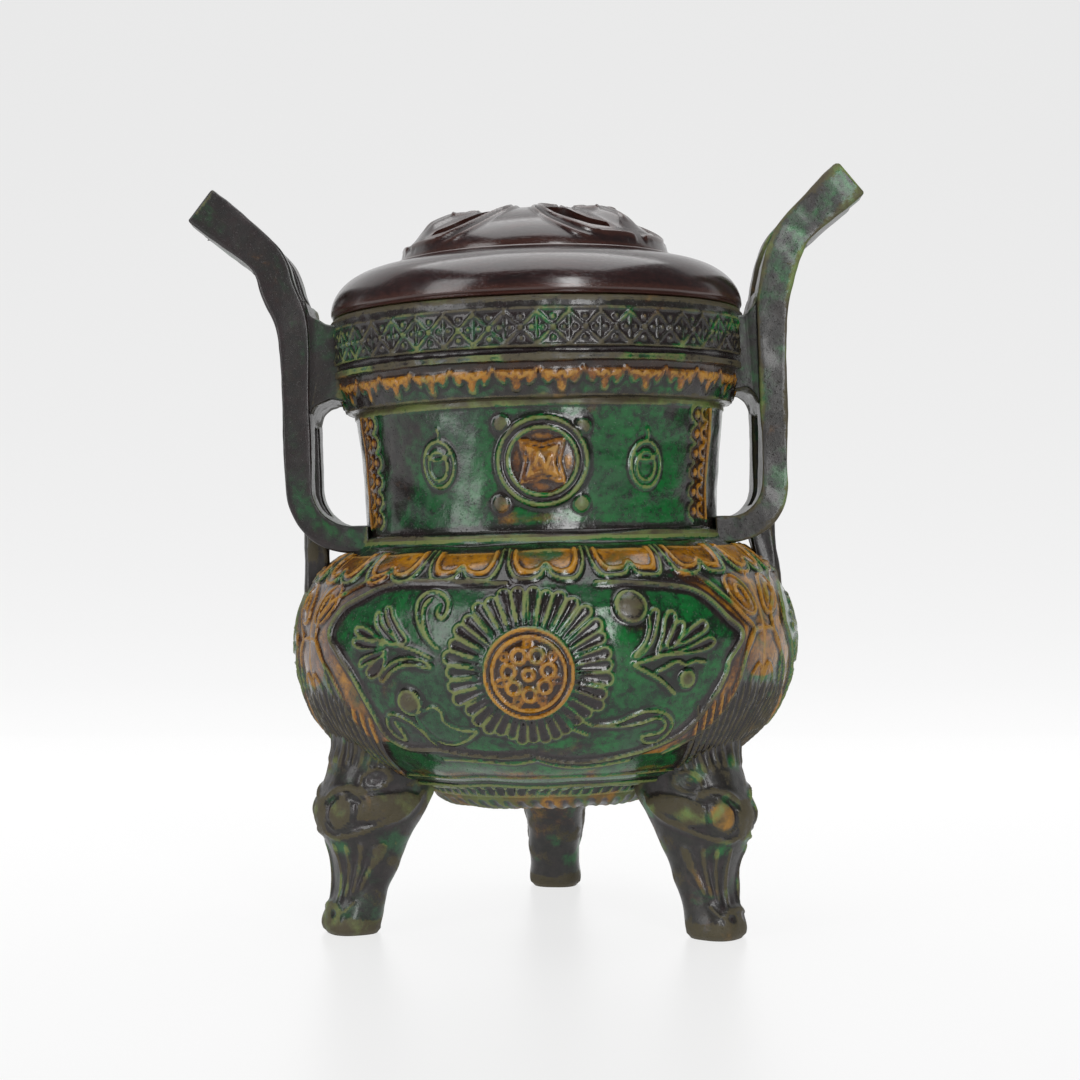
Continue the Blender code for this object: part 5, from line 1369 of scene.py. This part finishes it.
# %% Writing finishes as expressions
class Flow:
    """A number, colour or vector on its way through the nodes."""

    def __init__(self, finish, socket):
        self.finish, self.socket = finish, socket

    def maths(self, operation, other, swap=False, clamp=False):
        """A Math node of this value and another."""
        pair = (other, self) if swap else (self, other)
        made = self.finish.node("ShaderNodeMath", {"operation": operation, "use_clamp": clamp},
                                {0: pair[0], 1: pair[1]})
        return made

    def __add__(self, other):
        return self.maths("ADD", other)

    __radd__ = __add__

    def __sub__(self, other):
        return self.maths("SUBTRACT", other)

    def __rsub__(self, other):
        return self.maths("SUBTRACT", other, swap=True)

    def __mul__(self, other):
        return self.maths("MULTIPLY", other)

    __rmul__ = __mul__

    def __pow__(self, other):
        return self.maths("POWER", other)

    def clamped(self):
        """The value kept between 0 and 1."""
        return self.maths("ADD", 0.0, clamp=True)

    def step(self, low, high):
        """A smooth step from 0 to 1 between two values."""
        return self.finish.node("ShaderNodeMapRange", {"interpolation_type": "SMOOTHSTEP"},
                                {"Value": self, "From Min": low, "From Max": high})


class Finish:
    """A material in the making."""

    def __init__(self, name):
        self.material = bpy.data.materials.new(name)
        self.material.use_nodes = True
        self.tree = self.material.node_tree
        self.tree.nodes.clear()
        self.place = self.node("ShaderNodeTexCoord", output="Object")

    def node(self, kind, settings=None, inputs=None, output=0):
        """Add a node, set it, feed its sockets and return one of its outputs."""
        made = self.tree.nodes.new(kind)
        for name, value in (settings or {}).items():
            if name == "stops":
                ramp = made.color_ramp
                while len(ramp.elements) < len(value):
                    ramp.elements.new(0.5)
                for element, (at, colour) in zip(ramp.elements, value):
                    element.position, element.color = at, (*colour, 1.0)
            else:
                setattr(made, name, value)
        for name, value in (inputs or {}).items():
            socket = made.inputs[name]
            if isinstance(value, Flow):
                self.tree.links.new(value.socket, socket)
            elif isinstance(value, tuple) and len(value) == 3 and socket.type == "RGBA":
                socket.default_value = (*value, 1.0)
            else:
                socket.default_value = value
        return Flow(self, made.outputs[output])

    def attribute(self, name):
        """A number stored on the mesh."""
        return self.node("ShaderNodeAttribute", {"attribute_name": name}, output="Fac")

    def noise(self, scale, detail=3.0, roughness=0.55, twist=0.0):
        """Cloudy noise over the object, in grains for each metre."""
        return self.node("ShaderNodeTexNoise", {"noise_dimensions": "3D"},
                         {"Vector": self.place, "Scale": scale, "Detail": detail, "Roughness": roughness,
                          "Distortion": twist})

    def mix(self, share, first, second):
        """One colour going over into another."""
        return self.node("ShaderNodeMix", {"data_type": "RGBA"}, {0: share, 6: first, 7: second}, output=2)

    def ramp(self, value, stops):
        """Colours along a value."""
        return self.node("ShaderNodeValToRGB", {"stops": stops}, {"Fac": value})

    def bump(self, height, strength, distance, under=None):
        """A fine unevenness."""
        inputs = {"Height": height, "Strength": strength, "Distance": distance}
        if under is not None:
            inputs["Normal"] = under
        return self.node("ShaderNodeBump", {}, inputs)

    def surface(self, varying, constant):
        """The shader with what varies over the surface and what doesn't."""
        shader = self.node("ShaderNodeBsdfPrincipled", {}, {**varying, **constant}, output="BSDF")
        self.node_output(shader)
        return self.material

    def node_output(self, shader):
        """Send a shader to the material's output."""
        out = self.tree.nodes.new("ShaderNodeOutputMaterial")
        self.tree.links.new(shader.socket, out.inputs["Surface"])


def shade(red, green, blue):
    """A colour seen on a screen, 0 to 255, as the linear colour that a shader takes."""
    return tuple(((c / 255.0 + 0.055) / 1.055) ** 2.4 if c > 10 else c / 255.0 / 12.92
                 for c in (red, green, blue))


# %% [markdown]
# The glazes are lead glazes coloured with copper green, iron amber and manganese aubergine,
# which ran into each other in the kiln. The pools and crests from the mesh, the painted
# zones and noise at three sizes decide which of them shows. Thin glaze on the crests is
# rubbed to an olive cream, and it is a little rougher there.

# %% The three glazes
# The duller green is partly painted sheen, laid on the left side of the vessel.
EMERALD, DULL_SHEEN_GREEN, DEEP_GREEN = shade(2, 92, 36), shade(26, 72, 40), shade(3, 28, 15)
AMBER, HONEY, BURNT = shade(134, 76, 3), shade(176, 124, 16), shade(70, 32, 6)
AUBERGINE, BROWN_BLACK = shade(36, 25, 27), shade(16, 11, 11)
OLIVE_CREAM, AMBER_CREAM, DULL_CREAM = shade(124, 130, 70), shade(168, 124, 48), shade(80, 72, 48)


def make_glaze(name, dark_lean, wear, rough_base):
    """The three-colour glaze: how far it leans to aubergine, how worn and how rough it is."""
    finish = Finish(name)
    crest, pool = finish.attribute("crest"), finish.attribute("pool")
    broad = finish.noise(24.0, 3.0, 0.55, 0.6)
    cloud = finish.noise(80.0, 5.0, 0.62, 0.5)
    mottle = finish.noise(360.0, 4.0, 0.65)
    fleck = finish.noise(1400.0, 2.0, 0.5)
    sideways = finish.node("ShaderNodeSeparateXYZ", {}, {0: finish.place}, output="X")
    worn = (crest * 1.3 + (mottle - 0.5) * 1.7 + (fleck - 0.5) * 0.9 + (wear - 0.66)).step(0.0, 0.6)
    pooled = (pool * 1.5 + (cloud - 0.5) * 1.2 + (mottle - 0.5) * 0.5).step(0.05, 0.85)
    amber_zone = (finish.attribute("amber") + (cloud - 0.5) * 2.0 + (broad - 0.5) * 1.4).step(0.30, 0.95)
    dark_zone = (finish.attribute("dark") + (cloud - 0.5) * 2.2 + (broad - 0.5) * 2.2 + (mottle - 0.5) * 0.6
                 + dark_lean).step(0.08, 0.95)
    # The green runs duller towards the left and more emerald towards the right: painted sheen of the broad
    # light from the left. The broad noise on top is the glaze's own uneven tone.
    green = finish.mix((sideways * 5.0 + (broad - 0.5) * 2.4 + 0.5).step(0.2, 0.8), DULL_SHEEN_GREEN, EMERALD)
    green = finish.mix((mottle * 0.8 + cloud * 0.7).step(0.55, 1.0), green, DEEP_GREEN)
    green = finish.mix(pooled * 0.9, green, BROWN_BLACK)
    amber = finish.mix((cloud * 0.9 + mottle * 0.5).step(0.5, 0.9), AMBER, HONEY)
    amber = finish.mix((broad * 0.7 + mottle * 0.9).step(0.55, 1.0), amber, BURNT)
    amber = finish.mix(pooled * 0.95, amber, shade(32, 15, 10))
    dark = finish.mix(mottle.step(0.3, 0.7), AUBERGINE, BROWN_BLACK)
    cream = finish.mix(amber_zone, finish.mix(dark_zone, OLIVE_CREAM, DULL_CREAM), AMBER_CREAM)
    colour = finish.mix(dark_zone * 0.95, green, dark)
    colour = finish.mix(amber_zone * 0.96, colour, amber)
    colour = finish.mix((mottle * 0.6 + fleck * 0.5).step(0.58, 0.72) * 0.5, colour, BROWN_BLACK)
    colour = finish.mix(worn * 0.62, colour, cream)
    wave = finish.noise(140.0, 3.0, 0.5)
    pitted = fleck.step(0.62, 0.72)
    height = wave * 0.5 + mottle * 0.22 - pitted * 0.2
    relief = finish.bump(height, 0.45, 0.0010)
    rough = worn * 0.24 + (mottle - 0.5) * 0.25 + pitted * 0.2 + rough_base
    return finish.surface({"Base Color": colour, "Roughness": rough.clamped(), "Normal": relief,
                           "Coat Weight": (0.2 - worn * 0.2).clamped()},
                          {"Coat Roughness": 0.08, "Coat IOR": 1.5, "IOR": 1.47})


glaze = make_glaze("three_colour_glaze", 0.0, 0.0, 0.17)
dark_glaze = make_glaze("aubergine_glaze", 0.12, 0.0, 0.40)
rubbed_glaze = make_glaze("rubbed_glaze", 0.30, -0.12, 0.28)

# %% [markdown]
# The lid is a later piece of dark hardwood, turned and then carved. A half-round moulding
# rests on the lip, a ledge rises inside it, and a low dome carries three cloud heads, each
# between two crescent piercings that let the smoke out. The moulding is a closed outline
# spun round. The dome is a spun skin: faces inside the crescents are deleted, the edge of
# each hole is drawn onto the crescent, and Solidify gives the wood its thickness.

# %% Sizes of the lid, in millimetres
LID_BASE = LIP_TOP + 0.3
LID_RADIUS, TORUS_HEIGHT, TORUS_ROUND = 73.2, 17.6, 21.0
LEDGE_RADIUS, LEDGE_RISE = 50.6, 1.8
DOME_RADIUS, DOME_HEIGHT, DOME_FOOT = 48.3, 20.5, LID_BASE + 18.0
LID_WALL, DOME_WALL, FLANGE_GAP, FLANGE_DEPTH = 6.0, 4.5, 1.2, 7.0
CLOUD_HEADS = (51.0, 171.0, -69.0)
OPENING = ((14.0, 42.6), (24.0, 40.6), (31.5, 35.0), (33.5, 27.5), (28.0, 20.0), (16.0, 17.5))
OPENING_WIDTHS = (2.6, 4.6, 7.4, 8.2, 6.4, 3.0)
CLOUD_BEAD = ((4.0, 46.6), (24.0, 46.0), (38.5, 40.0), (45.5, 29.0), (44.0, 18.5), (26.0, 12.5), (6.0, 11.5))
CLOUD_LEAF = ((0.0, 45.0), (9.0, 44.0), (15.5, 39.0), (20.5, 31.5), (18.5, 24.5), (9.0, 21.0), (0.0, 20.0))
CLOUD_CURL = ((4.0, 30.0), (12.0, 32.0), (17.0, 27.0), (12.0, 23.0), (7.0, 26.0))
CLOUD_RIB = ((0.0, 41.0), (0.0, 34.0), (0.0, 28.0))
DOME_GRAIN, MOULDING_GRAIN, DOME_SKIN = 0.76, 1.3, 1.2


def dome_height(radius):
    """Height of the dome's skin at one radius from the axis."""
    return DOME_FOOT + DOME_HEIGHT * np.sqrt(np.clip(1.0 - (radius / DOME_RADIUS) ** 2, 0.0, 1.0))


def plan_point(head, side, turn, radius):
    """Plan place on the lid from a cloud head's own turn and radius."""
    angle = math.radians(head + side * turn)
    return radius * math.sin(angle), -radius * math.cos(angle)


def plan_line(head, side, points):
    """A line drawn by turn and radius, laid out in plan beside a cloud head's middle."""
    return [plan_point(head, side, t, r) for t, r in points]


def crescent(head, side):
    """The outline in plan of one crescent piercing."""
    line = soft([plan_point(head, side, *p) + (w,) for p, w in zip(OPENING, OPENING_WIDTHS)], steps=8)
    ahead = np.gradient(line[:, :2], axis=0)
    ahead /= np.linalg.norm(ahead, axis=1)[:, None]
    aside = np.column_stack((-ahead[:, 1], ahead[:, 0])) * line[:, 2:3] / 2.0
    return np.vstack((line[:, :2] + aside, (line[:, :2] - aside)[::-1]))


# %% The moulding
def build_moulding():
    """The turned outer ring of the lid with its ledge and its flange."""
    arc = elliptic(LID_RADIUS - TORUS_ROUND, LID_BASE + 2.0, TORUS_ROUND, TORUS_HEIGHT - 2.0, 84.0, 0.0, 40)
    flange = MOUTH_RADIUS - FLANGE_GAP
    crown_z = LID_BASE + TORUS_HEIGHT
    ledge_z = crown_z + LEDGE_RISE
    outline = [(DOME_RADIUS - 0.4, DOME_FOOT - 0.4), (DOME_RADIUS + 0.7, DOME_FOOT + 0.2),
               (LEDGE_RADIUS - 1.2, ledge_z - 0.5), (LEDGE_RADIUS - 0.6, ledge_z), (LEDGE_RADIUS, ledge_z),
               (LEDGE_RADIUS + 0.5, ledge_z - 0.5), (LEDGE_RADIUS + 0.6, crown_z - 0.9),
               (LEDGE_RADIUS + 1.5, crown_z - 0.9), (LEDGE_RADIUS + 2.2, crown_z - 0.1)]
    outline += [tuple(p) for p in arc]
    outline += [(LID_RADIUS - 0.1, LID_BASE + 1.6), (LID_RADIUS - 0.9, LID_BASE + 1.1),
                (LID_RADIUS - 0.6, LID_BASE + 0.4), (LID_RADIUS - 1.2, LID_BASE), (flange, LID_BASE),
                (flange, LID_BASE - FLANGE_DEPTH + 0.6), (flange - 0.6, LID_BASE - FLANGE_DEPTH),
                (flange - LID_WALL, LID_BASE - FLANGE_DEPTH), (flange - LID_WALL, crown_z - LID_WALL),
                (DOME_RADIUS - LID_WALL, DOME_FOOT - 2.0)]
    piece = turn_section("lid_moulding", np.array(outline), 0.0, 360.0, MOULDING_GRAIN)
    points = coordinates(piece)
    radius = np.hypot(points[:, 0], points[:, 1])
    points[:, 2] += 0.10 * wander(points, 60.0, 61) * (radius > 66.0) * (points[:, 2] > LID_BASE + 4.0)
    set_coordinates(piece, points)
    note_wear(piece, 5, 0.2)
    settle(piece, leaning, sharp=48.0)
    return piece


# %% The pierced dome
def build_dome():
    """The dome with its crescent piercings and carved cloud heads."""
    edge = elliptic(0.0, DOME_FOOT, DOME_RADIUS, DOME_HEIGHT, 90.0, 0.0, 400)
    runs = run_along(edge)
    even = np.linspace(0.0, runs[-1], int(runs[-1] / DOME_GRAIN))
    line = np.column_stack([np.interp(even, runs, edge[:, i]) for i in (0, 1)])
    piece = new_piece("lid_dome", [(0.0, -r, z) for r, z in line],
                      [(i, i + 1) for i in range(len(line) - 1)], [])
    pick(piece)
    bpy.ops.object.mode_set(mode="EDIT")
    bpy.ops.mesh.select_all(action="SELECT")
    bpy.ops.mesh.spin(steps=int(2.0 * math.pi * DOME_RADIUS / DOME_GRAIN), angle=-2.0 * math.pi,
                      center=(0.0, 0.0, 0.0), axis=(0.0, 0.0, 1.0))
    bpy.ops.mesh.select_all(action="SELECT")
    bpy.ops.mesh.remove_doubles(threshold=0.02)
    bpy.ops.object.mode_set(mode="OBJECT")

    crescents = [crescent(head, side) for head in CLOUD_HEADS for side in (-1.0, 1.0)]
    centres = np.array([face.center for face in piece.data.polygons])
    faces = Clay(centres[:, 0], centres[:, 1], np.ones(len(centres)))
    doomed = np.zeros(len(centres), dtype=bool)
    for outline in crescents:
        rows, _ = faces.within(outline, 0.1)
        doomed[rows] = True
    choose(piece, "FACE", doomed)
    bpy.ops.mesh.delete(type="FACE")
    bpy.ops.mesh.select_mode(type="EDGE")
    bpy.ops.mesh.select_all(action="DESELECT")
    bpy.ops.mesh.select_non_manifold(extend=False)
    bpy.ops.object.mode_set(mode="OBJECT")

    points = coordinates(piece)
    rim_vertices = np.zeros(len(points), dtype=bool)
    piece.data.vertices.foreach_get("select", rim_vertices)
    radius = np.hypot(points[:, 0], points[:, 1])
    loose = np.flatnonzero(rim_vertices & (radius < DOME_RADIUS - 0.5))
    for outline in crescents:
        ring = np.vstack((outline, outline[:1]))
        gap = np.full(len(loose), 1.6)
        spot = points[loose, :2].copy()
        for a, b in zip(ring, ring[1:]):
            step = b - a
            t = np.clip(((points[loose, :2] - a) @ step) / max(step @ step, 1e-9), 0.0, 1.0)
            foot = a + t[:, None] * step
            away = np.linalg.norm(points[loose, :2] - foot, axis=1)
            closer = away < gap
            gap[closer], spot[closer] = away[closer], foot[closer]
        points[loose, :2] = spot
    radius = np.hypot(points[:, 0], points[:, 1])
    points[loose, 2] = dome_height(radius[loose])

    clay = Clay(points[:, 0], points[:, 1], np.ones(len(points)))
    for head in CLOUD_HEADS:
        outline = soft(plan_line(head, 1.0, CLOUD_LEAF) + plan_line(head, -1.0, CLOUD_LEAF[-2:0:-1]),
                       closed=True)
        clay.pad(outline, 2.2, 8.0)
        wider_bead = [(t + 5.0, min(28.0 + (r - 28.0) * 1.12, 47.2)) for t, r in CLOUD_BEAD]
        for side in (-1.0, 1.0):
            clay.bead(soft(plan_line(head, side, CLOUD_BEAD), steps=8), 1.5, 1.3)
            clay.bead(soft(plan_line(head, side, wider_bead), steps=8), 1.3, 0.8)
            clay.bead(soft(plan_line(head, side, CLOUD_CURL), steps=8), 1.3, 1.0, taper=0.15)
        clay.bead(soft(plan_line(head, 1.0, CLOUD_RIB)), 2.4, 0.5, taper=0.3)
    heights = clay.lift() * eased((DOME_RADIUS - radius) / 2.5)
    slope = np.clip(radius / DOME_RADIUS, 0.0, 0.94)
    outward = slope * DOME_HEIGHT / DOME_RADIUS / np.sqrt(1.0 - slope ** 2)
    size = np.sqrt(1.0 + outward ** 2)
    safe = np.maximum(radius, 1e-6)
    points[:, 0] += heights * outward / size * points[:, 0] / safe
    points[:, 1] += heights * outward / size * points[:, 1] / safe
    points[:, 2] += heights / size
    set_coordinates(piece, points)

    face_outwards(piece)
    up = sum(face.normal.z for face in piece.data.polygons)
    if up < 0.0:
        piece.data.flip_normals()
    wood = piece.modifiers.new("wood", "SOLIDIFY")
    wood.thickness, wood.offset = DOME_WALL, -1.0
    apply_modifiers(piece)
    note_wear(piece, 5, 0.2)
    points = coordinates(piece)
    # The inner side of the dome, more than DOME_SKIN below its outer skin, takes the full hollow value:
    # painted shade that makes the crescent piercings read dark.
    depth = dome_height(np.hypot(points[:, 0], points[:, 1])) - points[:, 2]
    hollow = np.empty(len(points))
    piece.data.attributes["pool"].data.foreach_get("value", hollow)
    set_attribute(piece, "pool", np.where(depth > DOME_SKIN, 1.0, hollow))
    settle(piece, leaning, sharp=48.0)
    print("lid_dome faces", len(piece.data.polygons))
    return piece


moulding = build_moulding()
dome = build_dome()

# %% [markdown]
# The wood is nearly black-red and oiled: straight fine grain runs one way through the whole
# lid, which shows it as rings on the moulding's ends and lines on its sides. Raised edges
# are rubbed browner, and dust and wax dull the hollows. The inner side of the dome is
# darkened the same way, and there it is painted shade, seen through the piercings.

# %% The dark hardwood
def make_wood():
    """Dark oiled hardwood with a fine straight grain."""
    finish = Finish("dark_hardwood")
    crest, pool = finish.attribute("crest"), finish.attribute("pool")
    stretched = finish.node("ShaderNodeMapping", {}, {"Vector": finish.place, "Scale": (9.0, 120.0, 120.0)})
    grain = finish.node("ShaderNodeTexNoise", {}, {"Vector": stretched, "Scale": 6.0, "Detail": 5.0,
                                                   "Roughness": 0.65, "Distortion": 0.4})
    pores = finish.node("ShaderNodeTexNoise", {}, {"Vector": stretched, "Scale": 24.0, "Detail": 2.0})
    cloud = finish.noise(45.0, 3.0)
    fine = finish.noise(900.0, 2.0)
    colour = finish.ramp(grain * 0.8 + cloud * 0.25, ((0.35, shade(18, 8, 9)), (0.55, shade(34, 16, 16)),
                                                      (0.78, shade(54, 27, 24))))
    rubbed = (crest * 1.4 + (fine - 0.5) * 0.6 - 0.55).step(0.1, 0.9)
    colour = finish.mix(rubbed * 0.3, colour, shade(82, 46, 34))
    # Hollows darken with dust and wax. On the dome's inner side the same darkening is painted shade, seen
    # through the piercings.
    colour = finish.mix((pool * 1.2).step(0.1, 0.9) * 0.7, colour, shade(24, 15, 15))
    relief = finish.bump(grain * 0.4 + pores.step(0.55, 0.7) * -0.25 + fine * 0.1, 0.22, 0.0004)
    rough = 0.2 + (fine - 0.5) * 0.12 + pool * 0.5 + (cloud - 0.5) * 0.12
    return finish.surface({"Base Color": colour, "Roughness": rough.clamped(), "Normal": relief,
                           "Coat Weight": (0.3 - pool * 0.25).clamped()},
                          {"Coat Roughness": 0.12, "IOR": 1.5})


hardwood = make_wood()

# %% [markdown]
# Last, every piece rides on the one body, stands for the solid that it replaces, and takes
# its finish. The triangles of every piece are counted and printed.

# %% Finishes and the body
dark_pieces = [underside] + legs + handles + lutings
vessel_pieces = sections + [neck, rim] + dark_pieces
for pieces, finish, node, slot in ((sections + [neck], glaze, "censer", "glazed_body"),
                                   ([rim], rubbed_glaze, "censer", "glazed_body"),
                                   (dark_pieces, dark_glaze, "censer", "glazed_body"),
                                   ([moulding, dome], hardwood, "lid", "carved_wood")):
    for piece in pieces:
        piece.data.materials.clear()
        piece.data.materials.append(finish)
        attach(piece, "root")
        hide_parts(node)
total = 0
for piece in vessel_pieces + [moulding, dome]:
    piece.data.calc_loop_triangles()
    triangles = len(piece.data.loop_triangles)
    total += triangles
    print(piece.name, "triangles", triangles)
print("all triangles", total)
